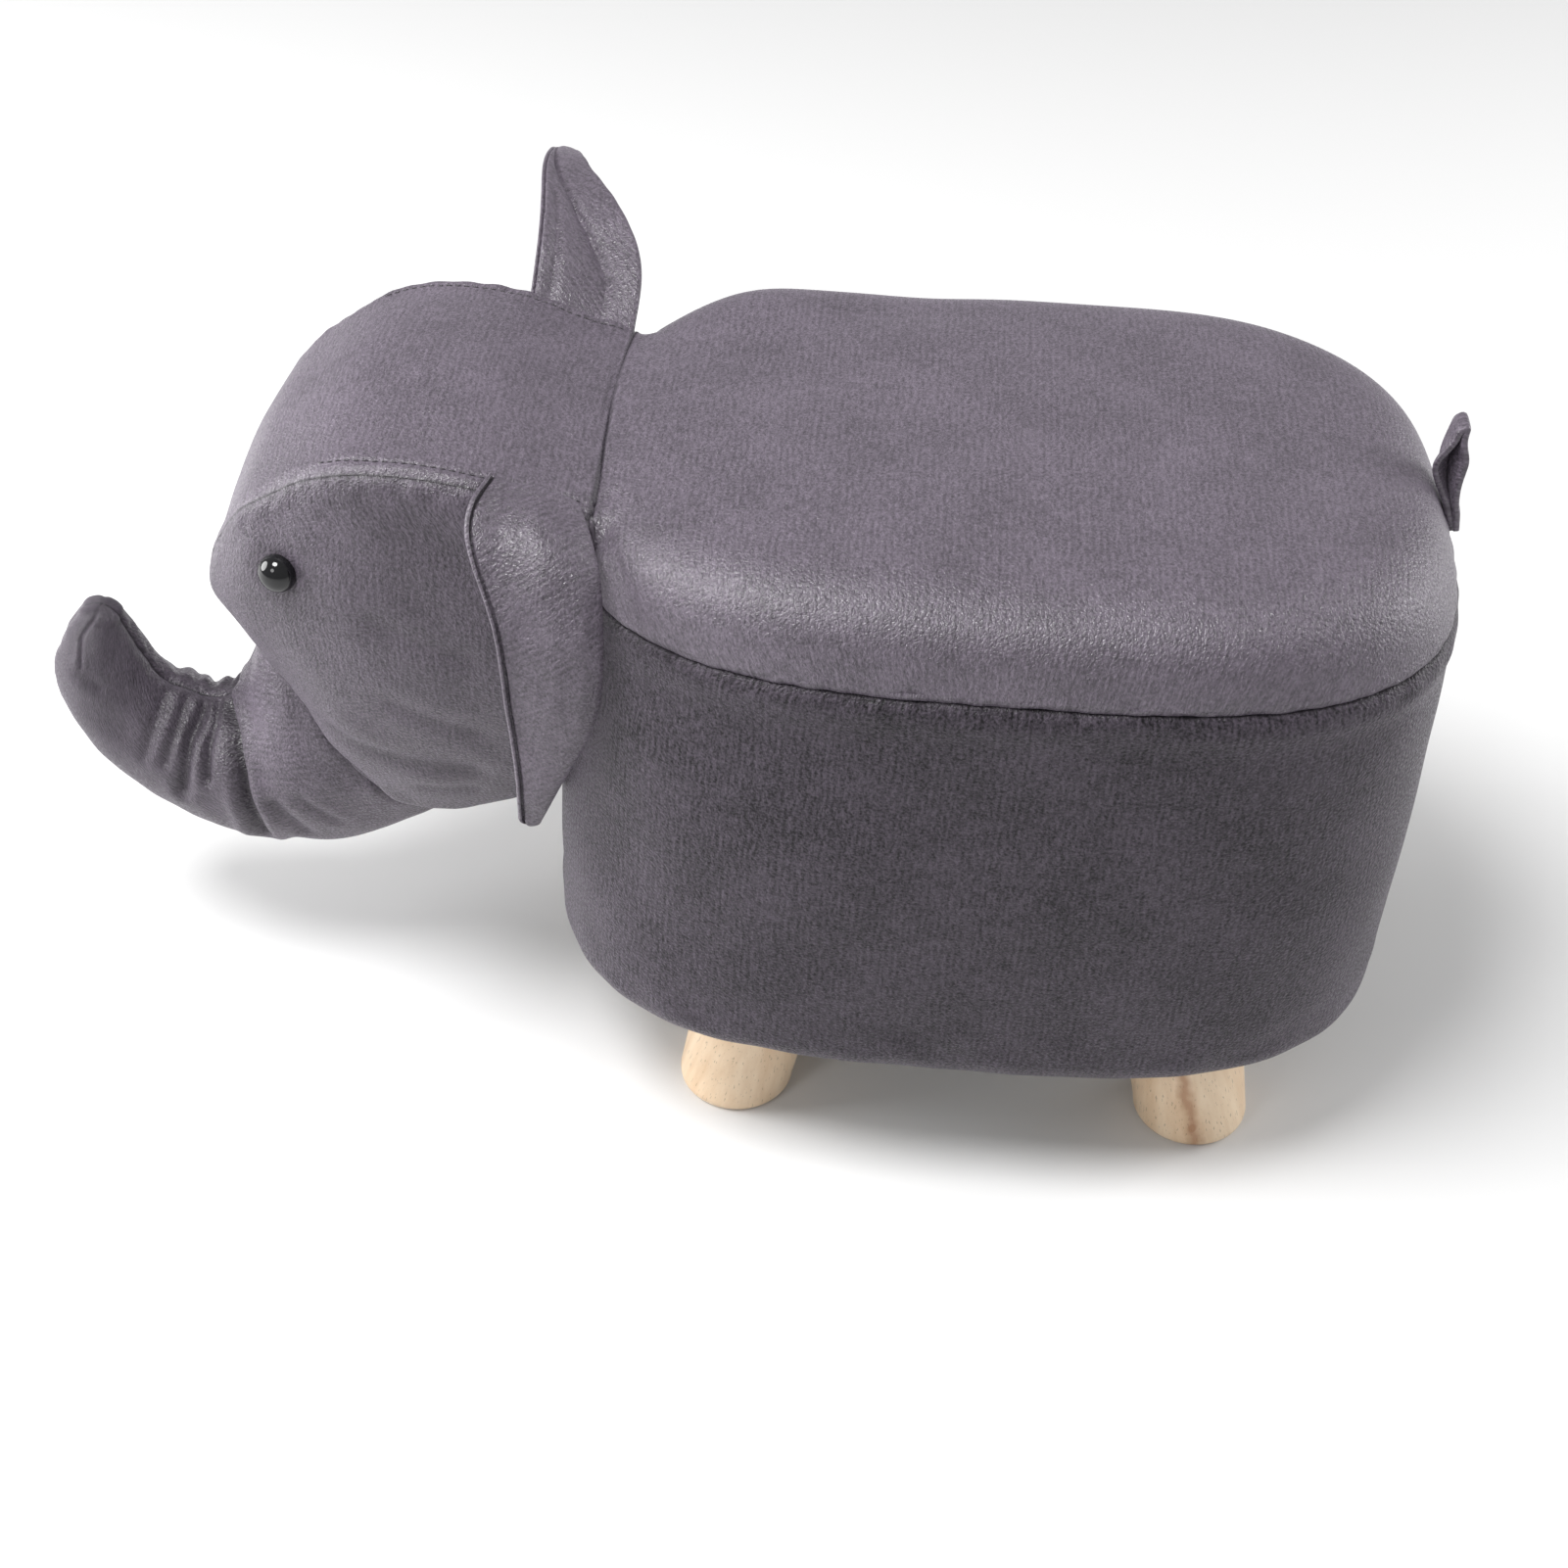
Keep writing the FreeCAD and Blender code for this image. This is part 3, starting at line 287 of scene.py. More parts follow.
def tube_faces(rows, columns, start=0):
    """Faces of a tube with a lid on each end."""
    lids = [list(range(first, first + columns)) for first in (start, start + (rows - 1) * columns)]
    return grid_faces(rows, columns, wrap_columns=True, start=start) + lids


def ring_piece(name, points, weave, wrap_rows=False):
    """Closed piece from a grid whose columns run all the way round; open ends get lids."""
    rows, columns = points.shape[:2]
    faces = grid_faces(rows, columns, True, True) if wrap_rows else tube_faces(rows, columns)
    return mesh_piece(name, points, faces, weave)


def shell_piece(name, points, weave):
    """Closed panel of cloth: the outer grid, an inner one, and the cut edge between them."""
    rows, columns = points.shape[:2]
    count = rows * columns
    inner = points - outward_normals(points) * PANEL_THICK
    index = np.arange(count).reshape(rows, columns)
    border = np.concatenate([index[0], index[1:, -1], index[-1, -2::-1], index[-2:0:-1, 0]]).tolist()
    faces = grid_faces(rows, columns) + grid_faces(rows, columns, start=count)
    faces += [[a, b, b + count, a + count] for a, b in zip(border, border[1:] + border[:1])]
    both = np.concatenate([points.reshape(-1, 3), inner.reshape(-1, 3)])
    return mesh_piece(name, both, faces, np.concatenate([weave.reshape(count, -1)] * 2))


# %% [markdown]
# Finishes.
# The cover is a short-napped knit: dark warm grey with a touch of violet, faint ribs between two
# and three millimetres apart, and tiny glossy flecks that crackle where the light strikes. Nap
# looks lighter or darker by the way it lies, so the side band, the cheeks and the trunk are darker
# tones of the same cloth, and these darker tones also hold painted shade for sides that the lamps
# light less. The third weave number is painted shade in seams and fold valleys and on the trunk
# past its deep crease. All of it is procedural and reads the weave numbers, so it stays on the
# cloth wherever the piece goes. Pictures could do it too, but they would stretch at seams.

# %% Node helper


class Finish:
    """Short way to write a node material."""

    def __init__(self, name):
        self.material = bpy.data.materials.new(name)
        self.material.use_nodes = True
        self.tree = self.material.node_tree
        self.shader = self.tree.nodes["Principled BSDF"]

    def node(self, kind, links=None, **settings):
        made = self.tree.nodes.new(kind)
        for key, value in settings.items():
            setattr(made, key, value)
        for socket, value in (links or {}).items():
            self.feed(made.inputs[socket], value)
        return made

    def feed(self, socket, value):
        if isinstance(value, bpy.types.NodeSocket):
            self.tree.links.new(value, socket)
        elif isinstance(value, bpy.types.Node):
            self.tree.links.new(value.outputs[0], socket)
        else:
            socket.default_value = value

    def sums(self, operation, *values):
        return self.node("ShaderNodeMath", dict(enumerate(values)), operation=operation).outputs[0]

    def weigh(self, *parts):
        """Sum of patterns, each times its weight."""
        total = 0.0
        for pattern, weight in parts:
            total = self.sums("MULTIPLY_ADD", pattern, weight, total)
        return total

    def vectors(self, operation, *values):
        return self.node("ShaderNodeVectorMath", dict(enumerate(values)), operation=operation)

    def stretch(self, place, scale):
        return self.node("ShaderNodeMapping", {"Vector": place, "Scale": scale})

    def noise(self, place, scale, detail=2.0, roughness=0.5):
        """Noise of one scale, or of three scales, one for each direction."""
        if isinstance(scale, tuple):
            place, scale = self.stretch(place, scale), 1.0
        links = {"Vector": place, "Scale": scale, "Detail": detail, "Roughness": roughness}
        return self.node("ShaderNodeTexNoise", links).outputs["Fac"]

    def ramp(self, value, stops):
        made = self.node("ShaderNodeValToRGB", {"Fac": value})
        points = made.color_ramp.elements
        while len(points) < len(stops):
            points.new(1.0)
        for point, (place, colour) in zip(points, stops):
            point.position = place
            point.color = (*colour, 1.0)
        return made.outputs["Color"]

    def mix(self, share, first, second):
        """One colour, going over to a second one by a share."""
        links = {0: share, 6: first, 7: (*second, 1.0)}
        return self.node("ShaderNodeMix", links, data_type="RGBA").outputs[2]

    def span(self, value, low, high, to_low, to_high):
        links = {"Value": value, "From Min": low, "From Max": high, "To Min": to_low, "To Max": to_high}
        return self.node("ShaderNodeMapRange", links).outputs["Result"]

    def bump(self, height, distance, strength):
        links = {"Height": height, "Distance": distance, "Strength": strength}
        return self.node("ShaderNodeBump", links).outputs[0]

    def set(self, **values):
        for key, value in values.items():
            self.feed(self.shader.inputs[key.replace("_", " ")], value)
        return self.material


def shade(colour, factor):
    """The same colour, lighter or darker."""
    return tuple(part * factor for part in colour)


# %% Ribbed napped cloth
RIB_SPACING = 0.0026
NAP = (0.0835, 0.0690, 0.0897)
SHEEN = (0.80, 0.71, 0.86, 1.0)
# Painted shade in seams and fold valleys: its tone and how strongly it darkens the cloth.
SEAM_SHADE_TONE, SEAM_SHADE_STRENGTH = 0.14, 0.82
NAP_DEPTH = 0.00042


def cloth_finish(name, tone, contrast=1.0, shine=1.6):
    """Napped knit; tone is how light its nap looks the way it was cut, plus painted shade on some pieces."""
    f = Finish(name)
    weave = f.node("ShaderNodeAttribute", attribute_name="weave").outputs["Vector"]
    split = f.node("ShaderNodeSeparateXYZ", {0: weave})
    drift = f.noise(weave, (55.0, 55.0, 0.0))
    across = f.sums("MULTIPLY_ADD", drift, 0.004, split.outputs[0])
    rib = f.sums("SINE", f.sums("MULTIPLY", across, 2 * math.pi / RIB_SPACING))
    broken = f.noise(weave, (300.0, 90.0, 0.0))
    rib = f.sums("MULTIPLY", rib, f.span(broken, 0.35, 0.65, 0.25, 1.0))
    patches = f.noise(weave, (24.0, 24.0, 0.0), 4.0, 0.6)
    brushed = f.noise(weave, (240.0, 60.0, 0.0), 3.0, 0.6)
    fleck = f.noise(weave, (950.0, 800.0, 0.0), 2.0, 0.6)
    dash = f.noise(weave, (560.0, 230.0, 0.0), 1.0)
    glint = f.noise(weave, (900.0, 760.0, 0.0), 1.0)
    links = {"Vector": f.stretch(weave, (620.0, 560.0, 0.0)), "Scale": 1.0}
    grain = f.node("ShaderNodeTexVoronoi", links, feature="DISTANCE_TO_EDGE").outputs["Distance"]
    nap = f.weigh((brushed, 0.10), (patches, 0.20), (fleck, 0.45), (dash, 0.25), (rib, 0.030))
    base = shade(NAP, tone)
    colour = f.ramp(nap, [(0.40, shade(base, 1 - 0.45 * contrast)), (0.50, base),
                          (0.60, shade(base, 1 + 0.50 * contrast))])
    seam_shade_share = f.sums("MULTIPLY", split.outputs[2], SEAM_SHADE_STRENGTH)
    height = f.weigh((rib, 0.13), (fleck, 0.9), (glint, 1.1))
    height = f.sums("ADD", height, f.span(grain, 0.0, 0.20, -0.22, 0.0))
    return f.set(Base_Color=f.mix(seam_shade_share, colour, shade(base, SEAM_SHADE_TONE)),
                 Roughness=f.span(glint, 0.42, 0.60, 0.58, 0.28), Normal=f.bump(height, NAP_DEPTH, 0.9),
                 Sheen_Weight=0.12, Sheen_Roughness=0.5, Sheen_Tint=SHEEN, IOR=shine)


# Darker tones below: partly the way the nap lies, partly painted shade on sides the lamps light less.
CLOTH = cloth_finish("ribbed_nap", 1.0)
SHADED_BAND_CLOTH = cloth_finish("ribbed_nap_dark_way_painted_shade", 0.44, 1.9, 1.32)
SHADED_TRUNK_CLOTH = cloth_finish("ribbed_nap_trunk_painted_shade", 0.93, 1.15, 1.5)
SHADED_CHEEK_CLOTH = cloth_finish("ribbed_nap_cheek_painted_shade", 0.80, 1.2, 1.5)
THREAD = cloth_finish("sewing_thread", 0.30)
print("finishes", CLOTH.name, SHADED_BAND_CLOTH.name, SHADED_TRUNK_CLOTH.name, SHADED_CHEEK_CLOTH.name, THREAD.name)

# %% [markdown]
# Wood, boards, metal, foam and dust cloth.
# The legs are pale rubberwood with a clear satin coat: long grain that follows the leg, a few
# darker streaks and, on the near rear leg, a brown streak with a small knot. Wood could be painted
# on, but a stretched noise gives grain at any scale and goes through the whole block.

# %% Other finishes
STAIN = (0.36, 0.17, 0.075)
WOOD_DEPTH = 0.00012


def leg_stain(f, place, spot, lean):
    """Share of a leaning brown line with a knot on it."""
    away = f.vectors("SUBTRACT", place, spot)
    split = f.node("ShaderNodeSeparateXYZ", {0: away})
    wobble = f.sums("MULTIPLY_ADD", f.noise(place, 120.0), 0.006, -0.003)
    line = f.sums("MULTIPLY_ADD", split.outputs[2], lean, split.outputs[0])
    line = f.sums("ABSOLUTE", f.sums("ADD", line, wobble))
    knot = f.vectors("LENGTH", f.vectors("MULTIPLY", away, (400.0, 60.0, 220.0))).outputs["Value"]
    return f.sums("MAXIMUM", f.span(line, 0.0006, 0.0045, 0.75, 0.0), f.span(knot, 0.5, 1.2, 0.9, 0.0))


def wood_finish(name, light, dark, size, turn, coat=0.0, rough=0.45, streak=None):
    """Straight-grained wood; a streak is the place and lean of a stain."""
    f = Finish(name)
    place = f.node("ShaderNodeTexCoord").outputs["Object"]
    turned = f.node("ShaderNodeMapping", {"Vector": place, "Rotation": turn})
    grain = f.noise(turned, (size, size, size * 0.05), 4.0, 0.6)
    growth = f.noise(turned, (size * 0.28, size * 0.28, size * 0.012), 3.0)
    pores = f.noise(turned, (1500.0, 1500.0, 70.0), 1.0)
    colour = f.ramp(f.weigh((grain, 0.4), (growth, 0.6)), [(0.38, light), (0.62, dark)])
    colour = f.mix(f.span(pores, 0.66, 0.72, 0.0, 0.6), colour, shade(dark, 0.42))
    if streak is not None:
        colour = f.mix(leg_stain(f, place, *streak), colour, STAIN)
    height = f.weigh((grain, 0.5), (pores, -0.6))
    return f.set(Base_Color=colour, Roughness=rough, Coat_Weight=coat, Coat_Roughness=0.25,
                 Normal=f.bump(height, WOOD_DEPTH, 0.5))


def plain_finish(name, colour, rough, metal=0.0, spread=0.12, size=400.0, depth=0.0001):
    """One colour with a fine speck."""
    f = Finish(name)
    speck = f.noise(f.node("ShaderNodeTexCoord").outputs["Object"], size, 4.0, 0.6)
    high = tuple(min(1.0, part) for part in shade(colour, 1 + spread))
    return f.set(Base_Color=f.ramp(speck, [(0.35, shade(colour, 1 - spread)), (0.65, high)]), Metallic=metal,
                 Roughness=f.span(speck, 0.3, 0.7, rough * 0.85, min(1.0, rough * 1.15)),
                 Normal=f.bump(speck, depth, 0.5))


PALE, TAN = (0.80, 0.64, 0.46), (0.66, 0.47, 0.30)
PLYWOOD = wood_finish("plywood", (0.62, 0.46, 0.28), (0.42, 0.28, 0.15), 260.0, (0.0, math.pi / 2, 0.0))
PINE = wood_finish("pine_post", (0.74, 0.58, 0.36), (0.52, 0.35, 0.18), 240.0, (0.0, 0.0, 0.0))
HARDBOARD = plain_finish("hardboard", (0.25, 0.15, 0.08), 0.7, size=900.0)
STEEL = plain_finish("zinc_plated_steel", (0.62, 0.63, 0.66), 0.32, metal=1.0, spread=0.08, depth=0.00003)
FOAM = plain_finish("open_foam", (0.80, 0.76, 0.58), 0.95, spread=0.2, size=1500.0, depth=0.0004)
FIBRE = plain_finish("loose_fibre", (0.86, 0.86, 0.84), 0.95, spread=0.1, size=500.0, depth=0.001)
WASHER = plain_finish("moulded_washer", (0.80, 0.80, 0.77), 0.45, spread=0.03)
DUST = plain_finish("dust_cloth", (0.030, 0.030, 0.032), 0.9, spread=0.35, size=1300.0, depth=0.0002)
EYE = plain_finish("polished_eye", (0.006, 0.006, 0.007), 0.055, spread=0.05, size=30.0, depth=0.00001)

# %% [markdown]
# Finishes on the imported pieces.
# The hidden frame, fixings and legs keep their solids, whose shapes are already right. Each leg
# gets its own turn of the grain, because four legs are never cut from one place in the plank.

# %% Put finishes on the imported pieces
CORNERS = (("front_left", -1, -1), ("front_right", -1, 1), ("rear_left", 1, -1), ("rear_right", 1, 1))
LEG_LEAN_X, LEG_LEAN_Y = math.radians(10.9), math.radians(7.9)
STREAKS = {"rear_left": ((0.099, -0.094, 0.012), 0.28)}


def dress(material, *nodes):
    for node in nodes:
        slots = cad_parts[node].data.materials
        slots.clear()
        slots.append(material)


def dress_corner(corner, sign_x, sign_y):
    """Post, leg and fixings of one corner; the grain leans with the leg."""
    dress(PINE, "frame_post_" + corner)
    dress(STEEL, *["leg_%s_%s" % (kind, corner) for kind in ("bolt", "washer", "nut")])
    turn = (sign_y * LEG_LEAN_Y, sign_x * LEG_LEAN_X, 0.0)
    size = 210.0 + 12 * sign_x - 7 * sign_y
    wood = wood_finish("leg_wood_" + corner, PALE, TAN, size, turn, 0.15, 0.48, STREAKS.get(corner))
    dress(wood, "leg_" + corner)


for corner in CORNERS:
    dress_corner(*corner)
dress(PLYWOOD, "base_board", "seat_board")
dress(HARDBOARD, "wall_board")
dress(STEEL, "frame_screws", "hem_staples")
dress(WASHER, "eye_washer_left", "eye_washer_right")
dress(FOAM, *[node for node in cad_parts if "foam" in node])
dress(FIBRE, *[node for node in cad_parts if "filling" in node])
print("dressed", len(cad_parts), "packed nodes")

# %% [markdown]
# Seat.
# The top panel is cut to the oval of the body and sewn to the side band in a sunk seam. It is
# pulled over thick foam, so it rises steeply at the seam and lies almost level on top, and a ridge
# runs forward to the neck. The grid goes round the oval; its rows climb from the seam to the
# middle. A swelling simulation would round the whole panel, which the real one isn't.

# %% Outline of the body
SEAT_HALF_LENGTH, SEAT_HALF_WIDTH = 170.0, 126.0
SEAM_HEIGHT, BASE_HEIGHT = 261.5, 66.0
SQUARENESS = 3.05
TAIL_SIDE = 10.0
COLUMNS = 840


def oval(turns, half_length, half_width):
    """Points of an oval that is squarer than an ellipse."""
    power = 2 / SQUARENESS
    return squared(np.cos(turns), power) * half_length, squared(np.sin(turns), power) * half_width


def even_turns(count):
    """Turns that space points evenly round the seat, from the rear seam on."""
    start = math.asin((TAIL_SIDE / SEAT_HALF_WIDTH) ** (SQUARENESS / 2))
    dense = start + np.linspace(0, 2 * math.pi, 40001)
    around = lengths(np.column_stack(oval(dense, SEAT_HALF_LENGTH, SEAT_HALF_WIDTH)))
    return np.interp(np.linspace(0, around[-1], count, endpoint=False), around, dense), around[-1]


TURNS, GIRTH = even_turns(COLUMNS)
AROUND = np.arange(COLUMNS) * GIRTH / COLUMNS
print("girth at the seat seam", round(GIRTH), "mm")

# %% Height of the seat
# Inset from the seam and rise above it.
CROWN_MARKS = ((3.2, -1.9), (1.3, -0.7), (0.35, 1.4), (0.75, 5.0), (2.5, 12.2), (7.8, 23.0), (18.3, 30.6),
               (37.8, 34.4), (69.3, 36.0), (100.0, 36.7), (126.0, 36.9))
SEAT_ROWS = 170
CROWN_FORWARD = 7.0 / 36.0
TOP_INSET, RIDGE_BLEND = 69.3, 9.0
NECK_X, RIDGE_LENGTH = -159.0, 62.0
NECK_HALF_WIDTH, NECK_SEAM, NECK_RISE = 69.5, 290.4, 5.0
# Middle along and across, reach and height.
SEAT_SWELLS = ((-112, 92, 30, 4.5), (-40, 100, 26, -1.6), (90, 98, 50, 2.0), (-60, -60, 70, 0.8))
SEAT_WRINKLE = ((-86, 66), (-60, 82), (-38, 88))


def soft_max(a, b, reach):
    """Higher of two heights, with the corner between them rounded."""
    share = np.clip(1 - np.abs(a - b) / reach, 0, 1)
    return np.maximum(a, b) + share * share * reach / 4


def ridge_height(x, y):
    """Ridge that runs from the neck seam back into the crown."""
    back = (x - NECK_X) / RIDGE_LENGTH
    half_width = NECK_HALF_WIDTH - 10 * np.clip(back, -0.2, 1.5)
    top = NECK_SEAM - 5 * np.clip(back, 0, 1) - 30 * np.clip(back - 1, 0, 3)
    share = np.abs(y) / half_width
    arch = NECK_RISE * (1 - np.minimum(share, 1) ** 2)
    over = np.abs(y) - half_width
    blur = 0.5 + 36 * ease((x - NECK_X) / 14)
    return top + arch - 1.3 * (over + np.sqrt(over ** 2 + blur))


def beside_neck(x):
    """Distance behind the neck seam, as far as the seam is felt."""
    return np.clip(x - NECK_X, -12, 30)


def seat_form():
    """The filled form of the panel before its creases, and how far each point is up on it."""
    profile = even(lath(CROWN_MARKS, 600), SEAT_ROWS, crowd=0.8)
    inset, rise = profile[:, 0], profile[:, 1]
    inset[-1] = SEAT_HALF_WIDTH
    core = np.clip((inset - TOP_INSET) / (SEAT_HALF_WIDTH - TOP_INSET), 0, 1)
    half_length = np.where(core > 0, (SEAT_HALF_LENGTH - TOP_INSET) * (1 - core), SEAT_HALF_LENGTH - inset)
    rows = []
    for length, width, up in zip(half_length, SEAT_HALF_WIDTH - inset, rise):
        x, y = oval(TURNS, length, width)
        rows.append(np.column_stack([x - up * CROWN_FORWARD, y, np.full(COLUMNS, SEAM_HEIGHT + up)]))
    points = np.array(rows)
    on_top = ease(column_distance(points) / SEAM_REACH)
    x, y, z = (points[..., k] for k in range(3))
    z[:] = soft_max(z, ridge_height(x, y), RIDGE_BLEND)
    for spot_x, spot_y, reach, swell in SEAT_SWELLS:
        away = ((x - spot_x) ** 2 + (y - spot_y) ** 2) / reach ** 2
        z += swell * np.exp(-away) * on_top
    behind = beside_neck(x)
    rolled = 1.4 * np.exp(-np.maximum(behind, 0) / 0.8) + 1.8 * np.maximum(-behind, 0)
    z -= rolled * ease((NECK_HALF_WIDTH + 12 - np.abs(y)) / 8)
    return points, on_top


# %% Make the seat


def make_seat():
    points, on_top = seat_form()
    x = points[..., 0]
    behind = beside_neck(x)
    normals = grid_normals(points, wrap_columns=True)
    normals *= np.where(normals[..., 2:] < 0, -1, 1)
    edge = column_distance(points)
    pucker = ripple(points, 11.0, 4) * hump(edge, 5.5, 5) * 0.28
    soft = ripple(points, 95.0, 5) * 0.55 + ripple(points, 38.0, 6) * 0.16
    dimple = crease(line_distance(points[..., :2], SEAT_WRINKLE), 0.5, 9.0)
    gather = ripple(points, 14.0, 7) * 0.35 * hump(behind, 4, 6)
    points += normals * ((soft + dimple) * on_top + pucker + gather)[..., None]
    # Painted shade in the seat seam and along the neck seam.
    painted_shade = hump(edge, 0.9) + hump(np.maximum(behind, 0), 0.7) * (x < NECK_X + 6)
    plan = column_distance(points * np.array([1.0, 1.0, 0.0]))
    slack = (edge[-1] - edge) - (plan[-1] - plan)
    outward = points[0, :, :2] - points[-1, :, :2]
    outward /= np.linalg.norm(outward, axis=1, keepdims=True)
    flat = points[..., :2] + outward * slack[..., None]
    weave = np.concatenate([flat, painted_shade[..., None]], axis=-1)
    low = points[:1] * np.array([0.95, 0.95, 1.0])
    low[..., 2] = SEAM_HEIGHT - 3.5
    return ring_piece("seat_panel", np.concatenate([low, points]), np.concatenate([weave[:1], weave]))


seat = make_seat()

# %% [markdown]
# Side band.
# One long strip goes round the body, closed by an upright seam under the tail, and its lower edge
# turns under and is stapled to the base. The foam behind makes it bulge a little. It is a closed
# loop of rows: down the outside, round the soft lower edge, under the hem and back up inside.

# %% Make the side band
FLARE_ALONG, FLARE_ACROSS, FLARE_FORWARD = 5.6, 3.8, 5.8
EDGE_RADIUS, BULGE, BAND_THICK = 15.0, 1.8, 1.6
TOP_ROLL = 1.7
HEM_HALF_LENGTH, HEM_HALF_WIDTH = 143.0, 99.0
# Distance below the seam and inset of the rows that tuck into it.
TOP_EDGE = ((0.3, 5.0), (0.5, 3.2), (0.7, 2.0), (1.0, 1.1), (1.4, 0.4), (1.9, -0.05), (2.5, -0.4))


def wall_row(height, inset):
    """Oval of the side wall at one height, drawn in by an inset."""
    down = (SEAM_HEIGHT - height) / (SEAM_HEIGHT - BASE_HEIGHT)
    half_length = SEAT_HALF_LENGTH + down * FLARE_ALONG - inset
    half_width = SEAT_HALF_WIDTH + down * FLARE_ACROSS - inset
    x, y = oval(TURNS, half_length, half_width)
    return np.column_stack([x - down * FLARE_FORWARD, y, np.full(COLUMNS, height)])


def hem_row(height, share):
    """Row of the turned-under hem, from the soft edge (0) to its cut edge round the legs (1)."""
    outer = wall_row(BASE_HEIGHT, EDGE_RADIUS)
    x, y = oval(TURNS, HEM_HALF_LENGTH, HEM_HALF_WIDTH)
    inner = np.column_stack([x, y, np.zeros(COLUMNS)])
    row = outer + (inner - outer) * share
    row[:, 2] = height
    return row


def outside_rows():
    """Rows down the outside, from the tucked top edge to the start of the hem."""
    rows = [(SEAM_HEIGHT - low, inset) for low, inset in TOP_EDGE]
    straight = SEAM_HEIGHT - BASE_HEIGHT - EDGE_RADIUS
    for share in np.linspace(0.035, 1, 130) ** 1.15:
        inset = -BULGE * math.sin(math.pi * share) - TOP_ROLL * hump(share * straight, 7, 8)
        rows.append((SEAM_HEIGHT - share * straight, inset))
    for turn in np.linspace(0, math.pi / 2, 20)[1:]:
        low = BASE_HEIGHT + EDGE_RADIUS * (1 - math.sin(turn))
        rows.append((low, EDGE_RADIUS * (1 - math.cos(turn))))
    return [wall_row(height, inset) for height, inset in rows]


def inside_rows():
    """Rows of the hidden side of the strip, from the hem back up to the seam."""
    rows = [hem_row(BASE_HEIGHT + BAND_THICK, share) for share in (1.0, 0.2)]
    for height, inset in ((BASE_HEIGHT + 12, 17.2), (SEAM_HEIGHT - 6, 16.6), (SEAM_HEIGHT - 3, 14.0)):
        rows.append(wall_row(height, inset))
    return rows


def make_band():
    hem = [hem_row(BASE_HEIGHT, share) for share in (0.25, 0.5, 0.75, 1.0)]
    points = np.array(outside_rows() + hem)
    normals = outward_normals(points, wrap_columns=True)
    edge = column_distance(points)
    low = edge[-1] - edge
    round_way = np.minimum(AROUND, GIRTH - AROUND)[None, :] * np.ones_like(edge)
    pucker = ripple(points, 10.0, 14) * hump(edge, 6, 9) * 0.28
    lower = ripple(points, 26.0, 15) * hump(low, 16, 45) * 0.45
    soft = ripple(points, 100.0, 16) * 0.7 + ripple(points, 40.0, 17) * 0.18
    seam = -0.9 * hump(round_way, 1.5) + 0.25 * hump(round_way, 3, 5)
    seam += ripple(points, 12.0, 18) * 0.22 * np.exp(-round_way / 6)
    inner = ease(edge / SEAM_REACH) * ease((low - 24) / 12)
    rise = soft * inner + pucker + lower * ease(low / 30) + seam * ease((low - 20) / 10)
    points += normals * rise[..., None]
    # Painted shade under the top seam and along the upright seam under the tail.
    painted_shade = hump(np.maximum(edge - 3.4, 0), 1.1) + 0.8 * hump(round_way, 0.9)
    weave = np.stack([np.broadcast_to(AROUND, edge.shape), -edge, painted_shade], axis=-1)
    back = np.array(inside_rows())
    back_weave = np.broadcast_to(weave[-1], back.shape)
    return ring_piece("side_band", np.concatenate([points, back]), np.concatenate([weave, back_weave]), True)


band = make_band()

# %% [markdown]
# Head.
# Three panels make the head: a long forehead gusset that narrows to the muzzle, and two cheeks
# that meet under the chin. Loose fibre fills it, so the cheeks are full and the seams between the
# panels sink. The same marks as the solid's stations shape the panels, with a few more at the
# nose, where the real muzzle is round.

# %% Stations of the head
HEAD_LENGTH, HEAD_HALF_WIDTH, HEAD_TOP, HEAD_HEIGHT = 168.0, 72.0, 305.0, 180.0
FOREHEAD_RISE, CHIN_SAG = 5.0, 9.0
HEAD_ROWS, FOREHEAD_COLUMNS, CHEEK_COLUMNS = 176, 151, 231
FOREHEAD_ARC, SIDE_ARC, CHIN_ARC = 201, 141, 81
COLUMN_CROWDING = 0.85
# Place along the head, then height and half width of the gusset seam, the cheek and the chin.
HEAD_MARKS = (
    (0.000, 0.074, 0.965, 0.444, 1.11, 0.825, 0.78),
    (0.119, 0.046, 0.972, 0.460, 1.14, 0.885, 0.76),
    (0.238, 0.012, 1.000, 0.460, 1.15, 0.945, 0.74),
    (0.393, -0.007, 1.000, 0.460, 1.15, 1.010, 0.69),
    (0.554, 0.007, 0.972, 0.460, 1.11, 0.990, 0.65),
    (0.655, 0.049, 0.917, 0.458, 1.04, 0.890, 0.62),
    (0.726, 0.094, 0.882, 0.455, 0.96, 0.762, 0.55),
    (0.780, 0.133, 0.847, 0.453, 0.89, 0.678, 0.51),
    (0.839, 0.206, 0.750, 0.450, 0.77, 0.592, 0.435),
    (0.890, 0.294, 0.635, 0.447, 0.645, 0.525, 0.365),
    (0.930, 0.378, 0.500, 0.447, 0.507, 0.488, 0.285),
    (0.947, 0.424, 0.330, 0.450, 0.337, 0.472, 0.185),
    (0.955, 0.446, 0.012, 0.452, 0.014, 0.458, 0.012),
)


def head_stations(count):
    """Rows of x, seam height and half width, cheek, chin, all in millimetres."""
    marks = np.array(HEAD_MARKS)
    rows = np.empty_like(marks)
    rows[:, 0] = NECK_X - marks[:, 0] * HEAD_LENGTH
    rows[:, 1::2] = HEAD_TOP - marks[:, 1::2] * HEAD_HEIGHT
    rows[:, 2::2] = marks[:, 2::2] * HEAD_HALF_WIDTH
    return lath(rows, count, measure=rows[:, [0, 1, 2]])


